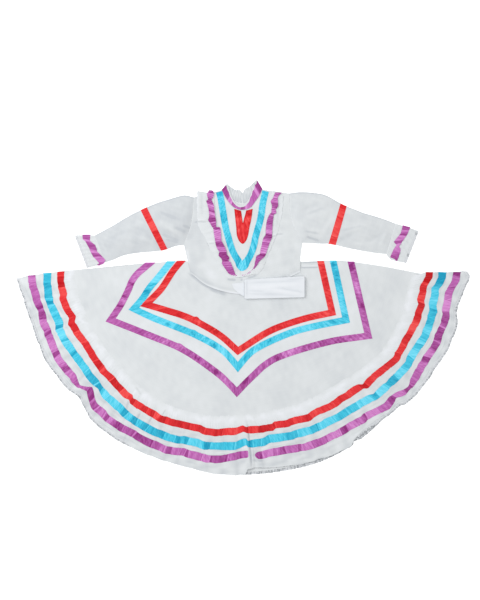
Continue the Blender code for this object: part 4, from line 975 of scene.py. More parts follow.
def makeStarRibbon(colour):
    seed = starForm["seeds"][colour]
    _, (first, last) = starLines(colour)
    plan, t = between(first, last, starForm["across"])
    x, y = xy(plan)
    for middleX, middleY, high, wide in starForm["humps"][colour]:
        y += high * np.exp(-((x - middleX) ** 2 + (y - middleY) ** 2) / wide**2)
    run = runOf(plan[2])
    (strength, pitch), (soft, size) = starForm["gathers"], starForm["unevenness"]
    small = strength * gathers(run + 14 * t, pitch, seed) + soft * ripple(x, y, size, seed)
    height = panelHeight(plan) + walls["gap"] + walls["ribbon"] + small * np.sin(math.pi * t)
    slant = run + 9 * (t - 0.5) * np.sin(run / 31.0 + seed)
    (large, length), (little, short) = starForm["facets"]
    tone = large * chanceTone(slant, length, seed, line=starForm["foldLine"])
    tone = tone + little * chanceTone(slant, short, seed + 1) + starForm["tone"][colour]
    tone = tone + creases(x, y, starShades)
    for strength, size, more in starForm["crinkles"]:
        tone = tone + strength * ripple(x, y, size, seed + more)
    addPiece(f"starRibbon{colour.capitalize()}", stack(plan, height), f"{colour}_satin", walls["ribbon"], tone)


# back panel, flounce and lace, flat on the floor, with the dents that the floor gives them
def makeBack():
    count = skirt["backColumns"]
    at = np.linspace(0.0, 1.0, count)
    first, last, distance = skirt["backMiddle"]
    middle = polar(first + (last - first) * at, np.full(count, distance))
    plan = fillRows([waistLine(count), middle, flounceLine(at, "panel", "red", -3.0)], (22, 22))
    height = levels["back"] + unevenAt(*xy(plan), "skirtBack")
    addPiece("skirtBack", stack(plan, height), "white_poplin", walls["thin"])

    at = np.linspace(0.0, 1.0, flounce["backColumns"])
    notch = -flounce["notchDepth"] * window(directionOf(at, "hem"), *flounce["notch"])
    lines = (("panel", "red", -2.7), ("violet", "violet", 0.0), ("hem", "backHem", notch - 9.3))
    plan = fillRows([flounceLine(at, *line) for line in lines], (8, 8))
    run = runOf(plan[-1])
    height = levels["backGathered"] + gathersAt(run, "flounceBack") + unevenAt(*xy(plan), "flounceBack")
    surface = stack(plan, np.clip(height, 0.5, 1.15))
    addPiece("flounceBack", surface, "white_poplin", walls["gathered"], gathersAt(run, "flounceBackTone"))

    plan, *_ = hemLace(at, "backHem", notch)
    surface = stack(plan, np.full(plan.shape[:2], levels["backLace"]))
    addPiece("hemLaceBack", surface, "white_lace", walls["lace"], 1.0)


# waistband: two layers stitched flat, gathered by the elastic inside
def makeWaistband():
    foot = waistLine(220, walls["gap"])
    v = np.linspace(0.0, 1.0, 20)[:, None]
    plan = foot + np.stack([0 * v, (skirt["bandHeight"] - walls["gap"]) * v], axis=-1)
    channel = np.abs(np.sin(3 * math.pi * v)) ** 0.5
    height = levels["band"] + 0.45 * channel * (0.6 + gathersAt(runOf(foot), "waistband"))
    addPiece("waistbandGathered", stack(plan, height), "white_poplin", walls["band"])


makeFrontPanel()
for colour in star:
    makeStarRibbon(colour)
makeBack()
makeWaistband()
print("skirt made")


# Blouse

blouse = {
    "shoulder": {"left": (-152, 405), "right": (143, 417)},
    "frontNeck": ((-67, 427), (-56, 406), (-42, 386), (-25, 371), (-3, 365), (22, 371), (37, 388), (51, 408),
                  (61, 429)),
    "backNeck": ((-67, 427), (-54, 411), (-37, 399), (-20, 390), (-1, 386), (17, 391), (33, 399), (50, 412),
                 (61, 429)),
    "armhole": {"left": ((-152, 405), (-160, 326), (-183, 257)), "right": ((143, 417), (150, 335), (184, 264))},
    "side": {"left": ((-183, 257), (-174, 217), (-161, 170)), "right": ((184, 264), (178, 223), (177, 174))},
    "hem": ((-161, 170), (-115, 134), (-59, 113), (0, 105), (59, 115), (121, 146), (177, 174)),
    "riseFrom": 264.0, "riseRun": 36.0, "trimLead": 6.0, "upperRows": 56, "lowerRows": 44,
    # how far the front's hem settles, by x
    "settled": ((-170, 0.0), (-110, -1.2), (-60, -2.2), (-20, 0.8), (40, 2.0)),
    # tone of its hem's edge, a painted highlight, of the painted shade in the dip above it, of the painted
    # highlight on its side seams, beside the neck and along its left
    "hemTone": 0.9, "hemDip": -0.35, "seamTone": 0.5, "neckTone": 0.12, "leftTone": -0.35,
}
# creases of the blouse front: x1, y1, x2, y2, half width, height
blouseCreases = (
    (-153, 328, -112, 329, 4, -0.9), (-150, 337, -110, 340, 5, 0.6), (-110, 260, -82, 262, 4, -0.8),
    (-112, 269, -84, 271, 5, 0.5), (96, 286, 124, 288, 4, -0.7), (96, 296, 128, 297, 5, 0.5),
    (-172, 250, -120, 170, 10, 0.9), (-160, 210, -90, 140, 8, 0.7), (-150, 186, -70, 124, 6, -0.6),
    (-178, 262, -140, 300, 8, -0.7), (178, 268, 140, 310, 9, -0.7), (182, 258, 150, 200, 9, 0.6),
    (170, 190, 110, 165, 8, 0.7), (172, 200, 120, 215, 7, -0.5), (-60, 160, -20, 120, 9, 0.5),
    (-120, 240, -96, 160, 8, -0.5), (120, 250, 108, 180, 8, 0.5), (140, 240, 160, 185, 7, -0.5),
    (-140, 392, -118, 340, 7, 0.5), (136, 400, 120, 340, 7, 0.5),
)
# painted shade of the blouse front under the ruffle and at its tucks, and soft lighter and darker patches: x1,
# y1, x2, y2, half width, tone
blouseShades = (
    (-140, 205, -75, 145, 15, 0.5), (-174, 245, -166, 200, 4, 0.8),
    (-48, 151, -22, 148, 2.2, -2.6), (14, 155, 44, 163, 2.2, -1.6), (-8, 149, 0, 150, 3, -1.5),
    (-150, 328, -112, 329, 2, -1.8), (-112, 263, -82, 264, 1.8, -2.4), (96, 290, 126, 292, 1.8, -1.2),
    (160, 250, 120, 180, 14, -0.3), (130, 330, 118, 300, 12, -0.3),
)
collar = {
    "frontTop": ((-50, 447), (-42, 428), (-34, 406), (-23, 388), (-8, 380), (9, 388), (20, 405), (29, 428),
                 (43, 459)),
    "backTop": {"left": ((-50, 447), (-37, 437), (-22, 428), (-11, 428), (-1, 418)),
                "right": ((-1, 418), (6, 431), (20, 439), (31, 450), (43, 459))},
    # points along it, and the ribbon's lower and upper edge as shares of its height
    "count": 193, "low": 0.05,
    "high": ((0, 0.80), (0.3, 0.66), (0.46, 0.55), (0.56, 0.60), (0.68, 0.82), (1, 0.94)),
}
yoke = {
    "line": ((-74, 422), (-69, 403), (-65, 378), (-61, 353), (-57, 329), (-52, 304), (-45, 279), (-37, 251),
             (-25, 224), (-2, 191), (21, 222), (33, 254), (38, 279), (45, 304), (52, 329), (57, 353), (60, 378),
             (65, 403), (70, 424)),
    # its outer corner is folded blunt: middle, half width and depth
    "blunt": (187, 13, 6.5),
    "keyOuter": ((-27, 369), (-24, 340), (-21, 312), (-19, 288), (-12, 270), (-1, 261),
                 (9, 270), (16, 288), (20, 312), (26, 340), (30, 369)),
    "keyInner": ((-6, 363), (-4, 350), (-2.4, 338), (-0.9, 328), (0, 326), (0.9, 328), (3, 338), (6, 348),
                 (10, 364)),
    # gathered ruffle: x, y of its ribbon, width of its inner heading, reach of its outer frill
    "ruffle": (
        (-101, 418, 14, 40), (-103, 403, 14, 40), (-101, 378, 14, 42), (-98, 353, 14, 45), (-94, 329, 12, 46),
        (-83, 304, 8, 44), (-79, 279, 12, 36), (-74, 254, 14, 30), (-65, 229, 14, 27), (-55, 205, 14, 27),
        (-42, 183, 13, 25), (-27, 169, 11, 22), (-8, 167, 9, 9), (12, 171, 9, 8), (27, 175, 11, 12),
        (40, 182, 13, 20), (48, 205, 14, 20), (57, 229, 14, 21), (67, 254, 14, 21), (74, 279, 14, 26),
        (78, 304, 14, 32), (82, 329, 14, 32), (90, 353, 14, 31), (96, 378, 14, 28), (98, 403, 14, 28),
        (106, 420, 14, 24),
    ),
    "waves": 28, "lift": 2.6, "fine": 12,
    "cells": (5, 8, 9),  # across it, between its edge, the two sides of its ribbon and its frill
    # its violet ribbon, twisted and drawn in by the gathers: x, y on its outer edge, x, y on its inner edge
    "twists": (
        (-104, 427, -92, 425), (-112, 416, -90, 414), (-110, 405, -93, 403), (-107, 399, -98, 398),
        (-114, 393, -95, 391), (-110, 383, -90, 381), (-107, 370, -89, 367), (-104, 350, -86, 347),
        (-108, 333, -84, 337), (-102, 325, -83, 327), (-97, 315, -83, 313), (-92, 309, -71, 312),
        (-90, 292, -68, 292), (-86, 269, -67, 271), (-85, 261, -63, 264), (-80, 245, -55, 248),
        (-73, 236, -51, 238), (-76, 224, -50, 228), (-66, 214, -42, 218), (-64, 207, -45, 208),
        (-66, 200, -39, 205), (-55, 183, -31, 186), (-44, 168, -25, 170), (-32, 162, -24, 167),
        (-24, 161, -20, 165), (-10, 160, -9, 164), (6, 162, 5, 166), (20, 169, 18, 173), (32, 180, 29, 183),
        (41, 190, 35, 191), (49, 204, 37, 204), (58, 213, 39, 212), (68, 222, 41, 223), (71, 229, 53, 229),
        (75, 242, 54, 242), (80, 257, 58, 257), (84, 267, 60, 268), (90, 281, 63, 279), (90, 288, 70, 288),
        (91, 312, 71, 311), (93, 335, 74, 334), (95, 351, 82, 352), (104, 356, 88, 357), (101, 366, 88, 366),
        (109, 377, 90, 378), (108, 393, 85, 393), (107, 403, 93, 402), (111, 410, 96, 411), (120, 419, 100, 420),
    ),
    # its painted sheen and shade, counted by the rows of the twists
    "turned": (
        (0, 0.6, -0.4), (1, 2, 0.3), (2.4, 3.4, -0.7), (3.6, 4.6, -0.6), (5, 5.6, 0.6), (6, 6.4, -0.5),
        (6.6, 7, 0.5), (7.3, 8.6, -0.7), (9, 10.2, -0.3), (10.6, 11.2, -0.6), (11.4, 12.8, 0.5),
        (13.2, 14.6, -0.6), (15, 15.8, 0.3), (16.2, 19.4, -0.9), (20, 20.4, 0.2), (20.6, 22.4, -0.35),
        (28.6, 31.6, -0.4),
        (31.8, 33, -0.9), (33.2, 34.8, 0.5), (35, 35.6, -0.3), (35.8, 36.4, 0.5), (36.6, 38, -0.8),
        (38.2, 38.8, 0.4), (39, 40.6, -0.4), (41, 41.6, -0.7), (42, 43, 0.45), (43.4, 44.6, -0.5),
        (45, 45.8, 0.2), (46, 46.8, 0.5), (47.2, 48, -0.2),
    ),
    # painted sheen and shade of the V, by distance along it
    "facets": (
        (0, 12, -0.6), (12, 62, 0.35), (64, 94, -0.55), (98, 140, 0.3), (146, 164, -0.5), (168, 206, 0.15),
        (210, 232, -0.7), (232, 262, 0.45), (262, 290, -0.6), (292, 300, -0.3), (302, 318, 0.5), (322, 330, -0.6),
        (334, 352, 0.4), (356, 374, -0.6), (378, 396, 0.3), (400, 418, -0.5), (422, 470, 0.35), (474, 486, 0.1),
    ),
    "width": 20.5,
    # little tucks across the ruffle, and the long folds of its outer part: x1, y1, x2, y2, half width, height
    "tucks": (
        (-146, 329, -108, 328, 2.2, -1.5), (-148, 335, -110, 335, 3, 0.9), (-106, 261, -86, 262, 2, -1.3),
        (-108, 266, -88, 267, 2.5, 0.7), (90, 284, 108, 285, 2, -1.2), (92, 290, 112, 290, 2.5, 0.7),
        (-128, 424, -126, 345, 4, -0.8), (-138, 424, -140, 345, 3, 0.6), (112, 405, 106, 300, 3, -0.7),
        (121, 412, 118, 330, 3, 0.6), (-104, 250, -76, 190, 3, -0.6), (84, 240, 60, 196, 3, -0.6),
        (-20, 158, 20, 160, 3, 0.9), (-34, 152, 8, 148, 3, -0.9),
    ),
}


# the blouse steps up on to the skirt and its waistband
def riseAt(y, lead=0.0):
    t = np.clip((blouse["riseFrom"] + lead - y) / blouse["riseRun"], 0.0, 1.0)
    return levels["overFront"] * (0.6 * t + 0.4 * t * t * (3 - 2 * t))


def bodyPlan(neck, fine):
    left, right = blouse["shoulder"]["left"], blouse["shoulder"]["right"]
    top = joined([evenly((left, neck[0]), 4 * fine + 1), smoothly(neck, 12 * fine + 1),
                  evenly((neck[-1], right), 4 * fine + 1)])
    underarm = evenly((blouse["side"]["left"][0], blouse["side"]["right"][0]), len(top))
    armholes = (smoothly(blouse["armhole"][side], blouse["upperRows"]) for side in ("left", "right"))
    sides = (evenly(blouse["side"][side], blouse["lowerRows"]) for side in ("left", "right"))
    return joined([patch(top, underarm, *armholes), patch(underarm, smoothly(blouse["hem"], len(top)), *sides)])


def makeBlouse():
    plan = bodyPlan(blouse["frontNeck"], 8)
    x, y = xy(plan)
    toHem = len(plan) - 1 - np.arange(len(plan))[:, None]
    hemEdge = 1 - ease(toHem, 0, 2)
    settled = np.interp(x, *np.transpose(blouse["settled"])) * (1 - ease(toHem, 0, 16)) ** 2
    # rows near the seams lie flat, so that the sleeves and the collar meet them
    flat = ease(405 - y + 0.25 * np.abs(x), 0, 40) * ease(175 - np.abs(x), 0, 18)
    relief = flat * (creases(x, y, blouseCreases) + unevenAt(x, y, "blouse"))
    height = levels["front"] + walls["cloth"] + riseAt(y) + relief - settled + 0.3 * hemEdge
    sideSeams = np.abs(np.linspace(-1, 1, plan.shape[1])) * (toHem > blouse["lowerRows"] - 1)
    tone = unevenAt(x, y, "blouseTone") + creases(x, y, blouseShades)
    tone = tone + blouse["hemTone"] * hemEdge + blouse["hemDip"] * window(toHem, 1, 3, 3, 7)
    tone = tone + blouse["seamTone"] * ease(sideSeams, 0.985, 1.0) + blouse["leftTone"] * ease(-x, 95, 130)
    tone = tone + blouse["neckTone"] * ease(y, 250, 330) * (1 - ease(np.abs(x), 60, 120))
    addPiece("blouseFront", stack(plan, height), "white_poplin", walls["shown"], tone)
    plan = bodyPlan(blouse["backNeck"], 5)
    middle = plan.shape[1] // 2
    halves = (("left", plan[:, :middle + 1].copy(), -1, -0.15), ("right", plan[:, middle:].copy(), 0, 0.15))
    for side, back, seam, shift in halves:
        back[:, seam, 0] += shift
        x, y = xy(back)
        surface = stack(back, levels["back"] + riseAt(y) + unevenAt(x, y, "blouseBack"))
        addPiece(f"blouseBack{side.capitalize()}", surface, "white_poplin", walls["thin"])


# standing collar laid flat, with its ribbon and the little frill above it
def makeCollar():
    count = collar["count"]
    seam, top = smoothly(blouse["frontNeck"], count), smoothly(collar["frontTop"], count)
    foot = seam + walls["gap"] * unit(top - seam)
    run = runOf(top)
    high = np.interp(np.linspace(0, 1, count), *np.transpose(collar["high"])) + gathersAt(run, "collarHigh")
    level = np.ones(count)
    shares = fillRows([0 * level, collar["low"] * level, high, level], (3, 8, 6))
    small = gathersAt(run, "collar") * shares
    frill = gathersAt(run, "collarFrill") * ease(shares, 0.8, 1.0)
    plan = foot + (top - foot) * (shares + frill)[..., None]
    full = np.sin(math.pi * np.clip(shares, 0, 1)) ** 0.7
    height = levels["front"] + walls["cloth"] + 0.22 * small + 0.27 * full
    surface = stack(plan, height)
    # its tone follows the gathers: painted shade and light
    addPiece("collarFront", surface, "white_poplin", walls["shown"], 0.25 * small)
    strip = surface[3:12].copy()
    strip[..., 2] += walls["gap"] + walls["ribbon"]
    # tone of its ribbon: facets of painted sheen and shade, and the gathers' painted shade and light
    tone = chanceTone(run, 12.0, 91, 1.0) + 0.25 * small[3:12]
    addPiece("collarRibbon", strip, "violet_satin", walls["ribbon"], tone)
    neck = smoothly(blouse["backNeck"], count)
    middle = count // 2
    for side, part, seam, shift in (("left", neck[:middle + 1], -1, -0.3), ("right", neck[middle:], 0, 0.3)):
        top = smoothly(collar["backTop"][side], middle + 1)
        foot = part + walls["gap"] * unit(top - part)
        plan, v = between(foot, top, 14)
        plan[:, seam, 0] = neck[middle, 0] + shift
        small = gathersAt(runOf(foot), "collarBack") * (0.6 + 0.4 * v)
        x, y = xy(plan)
        # tone: painted shade and light of its gathers, streaky, and darker all over and towards the neck seam
        tone = 0.28 * small + unevenAt(x, 0.12 * y, "collarBack") - 0.2 - 0.5 * (1 - v)
        surface = stack(plan, levels["backGathered"] + 0.2 * small)
        addPiece(f"collarBack{side.capitalize()}", surface, "white_poplin", walls["thin"], tone)


def trimHeight(plan, lift=0.0):
    return levels["overFront"] + riseAt(plan[..., 1], blouse["trimLead"]) + lift


# blue V of the yoke, and the red keyhole facing, blended from its slit to its outer edge
def makeYokeRibbons():
    line = joined([smoothly(yoke["line"][:10], 19), smoothly(yoke["line"][9:], 19)])
    inner, outer = ribbonEdges(line, (18, 18), (150, 150), yoke["width"])
    at, wide, deep = yoke["blunt"]
    outer[:, 0] += deep * np.exp(-((outer[:, 1] - at) / wide) ** 2) * np.tanh((outer[:, 0] + 1) / 3)
    plan, t = between(inner, outer, 7)
    run = runOf(plan[3])
    x, y = xy(plan)
    small = gathersAt(run + 6 * t, "yokeRibbon") + unevenAt(x, y, "yokeRibbon")
    # tone of the V: its facets' painted sheen and shade
    tone = placedTone(run + 5 * (t - 0.5), yoke["facets"], 1.2, 0.3) + 0.25 * chanceTone(run, 9.0, 131)
    tone = 0.75 * tone + unevenAt(x, y, "yokeRibbonTone")
    surface = stack(plan, trimHeight(plan, 0.45) + small * np.sin(math.pi * t))
    addPiece("yokeRibbon", surface, "blue_satin", walls["ribbon"], tone)

    plan, t = between(smoothly(yoke["keyInner"], 121), smoothly(yoke["keyOuter"], 121), 11)
    x, y = xy(plan)
    height = trimHeight(plan, 0.5) + 0.25 * np.sin(math.pi * t) + unevenAt(x, y, "keyhole")
    # tone: cloudy, with painted shade along its outer edge, along the slit and across its top, and a painted
    # highlight below that
    tone = unevenAt(x, y, "keyholeTone") - 0.7 * ease(t, 0.86, 0.95) - 0.9 * (1 - ease(t, 0.06, 0.16))
    tone = tone - 0.6 * ease(y, 344, 350) + 0.5 * window(y, 326, 332, 338, 344)
    addPiece("keyholeRibbon", stack(plan, height), "red_satin", walls["ribbon"], tone)


# gathered ruffle: four named lines, drawn finely along them, with its waves rising to the outer edge
def makeRuffle():
    table = np.array(yoke["ruffle"], float)
    count = 2 * yoke["waves"] + 1
    line = smoothly(table[:, :2], count)
    known, here = np.linspace(0, 1, len(table)), np.linspace(0, 1, count)
    heading, flare = (np.interp(here, known, table[:, k])[:, None] for k in (2, 3))
    out = line - sideways(line, 1.0)
    reach = ribbons["narrow"] / 2
    number = np.linspace(0.0, count - 1.0, (count - 1) * yoke["fine"] + 1)
    reaches = (-heading, -reach, reach, np.maximum(flare, reach + 1.0))
    lines = [betweenRows(line + distance * out, len(number)) for distance in reaches]
    plan = fillRows(lines, yoke["cells"])
    part = fillRows([[0.1], [0.35], [0.4], [0.08]], yoke["cells"])
    wave = roundShare(math.pi * number) * (1 + 0.3 * np.sin(1.9 * number))
    run = runOf(plan[9])
    far = np.linspace(0, 1, len(plan))[:, None]
    outward, inward = ease(far, 0.6, 1.0), 1 - ease(far, 0.0, 0.2)
    small = gathersAt(run, "ruffle") * (0.4 + np.exp(-((far - 0.4) / 0.25) ** 2))
    x, y = xy(plan)
    tucks = creases(x, y, yoke["tucks"])
    height = trimHeight(plan) + yoke["lift"] * part * wave + 0.75 - 0.42 * (ease(far, 0.75, 1.0) + inward)
    height = height + small * (1 - 0.6 * outward) + tucks + unevenAt(x, y, "ruffle") * far
    # both free edges are ragged
    ragged = gathersAt(run, "ruffleEdge") * (outward + 0.5 * (1 - ease(far, 0.0, 0.15)))
    plan = plan + unit(plan - plan[5:6]) * ragged[..., None]
    # tone: a little lighter all over, painted shade and light of its gathers and tucks, and a lighter outer edge
    tone = 0.12 + 0.4 * small + 0.5 * tucks + 0.15 * ease(far, 0.93, 1.0)
    addPiece("yokeRuffle", stack(plan, height), "white_poplin", walls["shown"], tone)


# two edges through a table of x, y on the outer edge and x, y on the inner one, at the numbers asked for
def twistedEdges(table, known, at):
    return [np.column_stack([np.interp(at, known, table[:, k]) for k in pair]) for pair in ((0, 1), (2, 3))]


# the ruffle's ribbon lies on the gathers between two given edges, and dips under them at the bottom
def makeRuffleRibbon():
    table = np.array(yoke["twists"], float)
    number = np.linspace(0.0, len(table) - 1.0, 720)
    outer, inner = twistedEdges(table, np.arange(len(table)), number)
    plan, t = between(inner, outer, 9)
    run = runOf(plan[4])
    for axis in (0, 1):
        plan[..., axis] = [softened(row, 1.7, 6, mode="reflect", reflect_type="odd") for row in plan[..., axis]]
    under = window(number, 22.2, 23.4, 28, 29.6)
    tight = gathersAt(run, "ruffleRibbon")
    height = trimHeight(plan) + 3.3 + 0.5 * np.sin(math.pi * t) + 0.35 * tight - (2.7 - 0.9 * tight) * under
    slant = run + 7 * t * np.sin(number / 2.3)
    # tone: the twists' painted sheen and shade, and painted shade and light along the gathers
    tone = placedTone(number + 0.2 * (t - 0.5), yoke["turned"], 0.06, 0.35) + gathersAt(slant, "ruffleRibbonTone")
    addPiece("ruffleRibbon", stack(plan, height), "violet_satin", walls["ribbon"], tone)


makeBlouse()
makeCollar()
makeYokeRibbons()
makeRuffle()
makeRuffleRibbon()
print("blouse made")


# Sleeves and cuffs

# matching points on the upper and lower edges from the armhole to the wrist, and the loft there
sleeves = {
    "tone": {"left": -0.55, "right": -0.2},
    "left": (((-152, 405), (-183, 257), 0), ((-183, 411), (-195, 256), 7), ((-226, 400), (-211, 253), 9),
             ((-267, 387), (-223, 249), 9), ((-298, 374), (-234, 245), 8), ((-317, 365), (-254, 240), 8),
             ((-344, 352), (-288, 236), 8), ((-369, 338), (-325, 233), 8), ((-400, 319), (-369, 225), 7),
             ((-431, 302), (-400, 212), 4), ((-459, 287), (-428, 203), 0.5)),
    "right": (((143, 417), (184, 264), 0), ((177, 421), (202, 263), 7), ((217, 419), (220, 262), 9),
              ((257, 411), (242, 261), 9), ((302, 386), (265, 261), 8), ((321, 377), (287, 257), 8),
              ((347, 367), (310, 251), 8), ((375, 356), (338, 245), 8), ((406, 347), (375, 238), 7),
              ((440, 336), (412, 232), 4), ((471, 324), (443, 229), 0.5)),
    "bow": (1.0, 0.7, 0.4, 0.2), "flat": 2.9, "band": (4.0, 5.0), "rings": 131, "round": 120, "ripple": 0.9,
    "bandSeed": {"left": 181, "right": 197}, "ribbonLift": 0.45,
    # height of its creases, their tone of painted shade and light, the painted highlight of its seams and the
    # painted shade along its upper folded edge
    "creaseHeight": 1.5, "creaseTone": 0.22, "seamTone": 0.5, "foldTone": -0.9,
}
# creases of each sleeve: x1, y1, x2, y2, half width, height
sleeveCreases = {
    "left": ((-190, 268, -250, 300, 9, -1.5), (-196, 290, -262, 330, 8, 1.1), (-186, 330, -240, 352, 8, -0.9),
             (-180, 380, -236, 378, 8, 0.9), (-270, 262, -330, 280, 8, 1.0), (-250, 250, -300, 290, 7, -1.1),
             (-330, 250, -400, 262, 7, 0.9), (-360, 300, -420, 270, 7, -0.9), (-300, 330, -372, 300, 9, 0.8),
             (-420, 236, -446, 280, 6, 0.7), (-400, 228, -430, 262, 6, -0.7), (-210, 262, -222, 330, 9, 0.8)),
    "right": ((190, 280, 262, 262, 9, -1.5), (200, 300, 270, 300, 9, 1.1), (176, 360, 250, 392, 8, -1.0),
              (190, 340, 262, 350, 9, 0.9), (250, 300, 290, 350, 8, 0.8), (296, 268, 360, 300, 8, -1.0),
              (310, 300, 392, 322, 8, 0.9), (330, 258, 410, 262, 7, 0.8), (380, 262, 440, 296, 7, -0.9),
              (300, 372, 360, 352, 7, 0.6), (424, 250, 448, 300, 6, 0.7), (210, 400, 262, 380, 9, 0.8)),
}
# painted shade and light of the sleeves at their sharper folds, laid out in the same way; the last number is the
# tone
sleeveShades = {
    "left": ((-248, 288, -200, 271, 2.5, -2.2), (-238, 274, -200, 265, 2.2, -1.4),
             (-234, 281, -206, 274, 2.5, 0.9), (-258, 360, -206, 338, 4, -0.6),
             (-186, 318, -162, 308, 2.5, -1.4), (-212, 312, -176, 296, 4, -0.6)),
    "right": ((196, 283, 236, 270, 2.5, -1.6), (190, 300, 236, 292, 3, -0.9), (196, 352, 250, 372, 4, -0.5),
              (300, 300, 372, 318, 4, -0.5)),
}
cuffs = {
    "left": (((-474, 288), (-434, 201)), ((-495, 288), (-452, 194)), ((-514, 288), (-476, 188))),
    "right": (((496, 317), (456, 212)), ((518, 310), (478, 206)), ((537, 303), (498, 203))),
    "waves": 8, "lift": (0.2, 0.9, 1.0, 0.8), "round": 260, "cells": (5, 9, 8), "width": 95,
    "laceReach": (0.1, 2.7, 5.2, 7.6), "laceScallop": (16.0, 0.5),
    # the violet ribbon of each, from the upper fold to the lower one: x, y on its outer edge, then its inner one
    "twists": {
        "left": ((-497, 289, -473, 289), (-496, 274, -474, 273), (-488, 269, -473, 269), (-483, 259, -458, 257),
                 (-475, 245, -453, 245), (-473, 238, -452, 237), (-464, 221, -440, 226), (-452, 209, -426, 211),
                 (-445, 200, -431, 200), (-454, 195, -446, 194)),
        "right": ((518, 312, 495, 318), (509, 291, 489, 296), (507, 287, 488, 293), (494, 269, 467, 267),
                  (483, 252, 475, 257), (487, 247, 470, 249), (488, 240, 466, 243), (483, 222, 458, 225),
                  (477, 207, 455, 218)),
    },
    # darker spots at the ends of the lace: x1, y1, x2, y2, half width, tone
    "darkerSpots": {
        "left": ((-513, 284, -508, 276, 3, 0.6),),
        "right": ((533, 303, 534, 286, 5, 1.4), (508, 232, 511, 220, 4, 1.4)),
    },
    # painted sheen and shade of each cuff ribbon, from its upper fold to its lower one: from, to, tone
    "facets": {
        "left": ((0, 0.12, -0.3), (0.12, 0.2, 0.5), (0.23, 0.44, -0.5), (0.5, 0.56, 0.5), (0.57, 0.66, -0.8),
                 (0.67, 0.86, 0.35), (0.88, 1, -0.5)),
        "right": ((0, 0.1, -0.4), (0.1, 0.18, 0.3), (0.2, 0.26, -0.8), (0.28, 0.46, 0.45), (0.47, 0.53, -0.7),
                  (0.55, 0.8, 0.35), (0.84, 1, -0.5)),
    },
}


# Flattened tube: each ring goes out over the top and back underneath. Its height is the flat tube's middle
# plus or minus the skin's height there times a root of the sine.
def tubeGrid(lines, overHeight, turns, grow=0.0):
    across = np.swapaxes(lines, 0, 1)
    numbers = np.arange(len(across))
    plan = rowsAt(across, numbers, roundShare(turns) * numbers[-1]).swapaxes(0, 1)
    plan = plan - unit(across[-1] - across[0])[:, None] * (grow * np.cos(turns))[None, :, None]
    sine = np.sin(turns)
    middle = 0.5 * sleeves["flat"]
    over = np.where(sine > 0, overHeight - middle + grow, middle - 0.35)
    return stack(plan, middle + np.sign(sine) * np.abs(sine) ** 0.44 * over)


def acrossLines(pairs, count=25):
    return fillRows(np.swapaxes(pairs, 0, 1), (count - 1,)).swapaxes(0, 1)


def beyond(line, distance, side):
    x, y = unit(line[-1] - line[0])
    return line + (distance if side == "right" else -distance) * np.array([-y, x])


# the skin of a sleeve at rows counted from the armhole: ripples, creases and a flat edge at each end
def sleeveSkin(side, turns, lines, rows, lofts, grow=0.0):
    across, sine = roundShare(turns), np.clip(np.sin(turns), 0, 1)
    rows, lofts = rows[:, None], lofts[:, None]
    soft = sleeves["ripple"] * np.clip((lofts - 5) / 2, 0, 1) * np.sin(3 * math.pi * across + 1.3 * rows)
    over = sleeves["flat"] + (lofts + soft) * np.sin(math.pi * across) ** 0.8 * 0.92
    surface = tubeGrid(lines, over, turns, grow)
    x, y = xy(surface)
    top = sine**0.6 * ease(rows, 0.0, 0.6) * (1 - 0.7 * ease(rows, 9.2, 10.0))
    relief = sleeves["creaseHeight"] * creases(x, y, sleeveCreases[side]) + unevenAt(x, y, "sleeve")
    surface[..., 2] += top * relief - 0.38 * sine**0.3 * (1 - ease(rows, 0.0, 0.7))
    return surface


# a sleeve and the red ribbon across it, over the top and round both folded edges; gives its line at the wrist
def makeSleeve(side):
    table, rings = sleeves[side], sleeves["rings"]
    coarse = acrossLines([(upper, lower) for upper, lower, _ in table])
    bow = smoothly(blouse["armhole"][side], coarse.shape[1]) - coarse[0]
    coarse[:len(sleeves["bow"])] += np.array(sleeves["bow"])[:, None, None] * bow
    coarse[0][:, 0] += -0.1 if side == "left" else 0.1
    lines = betweenRows(coarse, rings)
    lofts = betweenRows(np.array([row[2] for row in table], float), rings)
    rows = np.linspace(0.0, len(table) - 1.0, rings)
    turns = np.linspace(0.0, 2 * math.pi, sleeves["round"], endpoint=False)
    surface = sleeveSkin(side, turns, lines, rows, lofts)
    x, y = xy(surface)
    tone = unevenAt(x, y, "sleeveTone") + sleeves["tone"][side]
    tone = tone + sleeves["seamTone"] * (1 - ease(rows, 0.0, 0.12) + ease(rows, 9.9, 10.0))[:, None]
    folds = sleeves["creaseTone"] * creases(x, y, sleeveCreases[side]) + creases(x, y, sleeveShades[side])
    tone = tone + folds * (np.sin(turns) > 0) + sleeves["foldTone"] * np.exp(-(roundShare(turns) / 0.02) ** 2)
    ending = side.capitalize()
    addPiece(f"sleeve{ending}", surface, "white_poplin", walls["shown"], tone, wrap=True)
    bandRows = np.linspace(*sleeves["band"], 13)
    turns = np.linspace(-0.30, math.pi + 0.30, 90)
    bandLofts = np.interp(bandRows, rows, lofts)
    strip = sleeveSkin(side, turns, rowsAt(lines, rows, bandRows), bandRows, bandLofts, sleeves["ribbonLift"])
    tone = 0.7 * chanceTone(runOf(strip[6]), 12.0, sleeves["bandSeed"][side]) + 0.1
    addPiece(f"sleeveRibbon{ending}", strip, "red_satin", walls["ribbon"], tone)
    return coarse[-1]


# the skin of a cuff: its gathers, and fine ones where it stands out
def cuffSkin(side, turns, lift):
    across = roundShare(turns)
    wave = roundShare(2 * math.pi * cuffs["waves"] * across) * (1 + 0.25 * np.sin(33.6 * across))
    fine = gathersAt(cuffs["width"] * across, f"cuff{side.capitalize()}")
    return sleeves["flat"] + lift * wave * 0.92 + fine * (lift > 0.8)


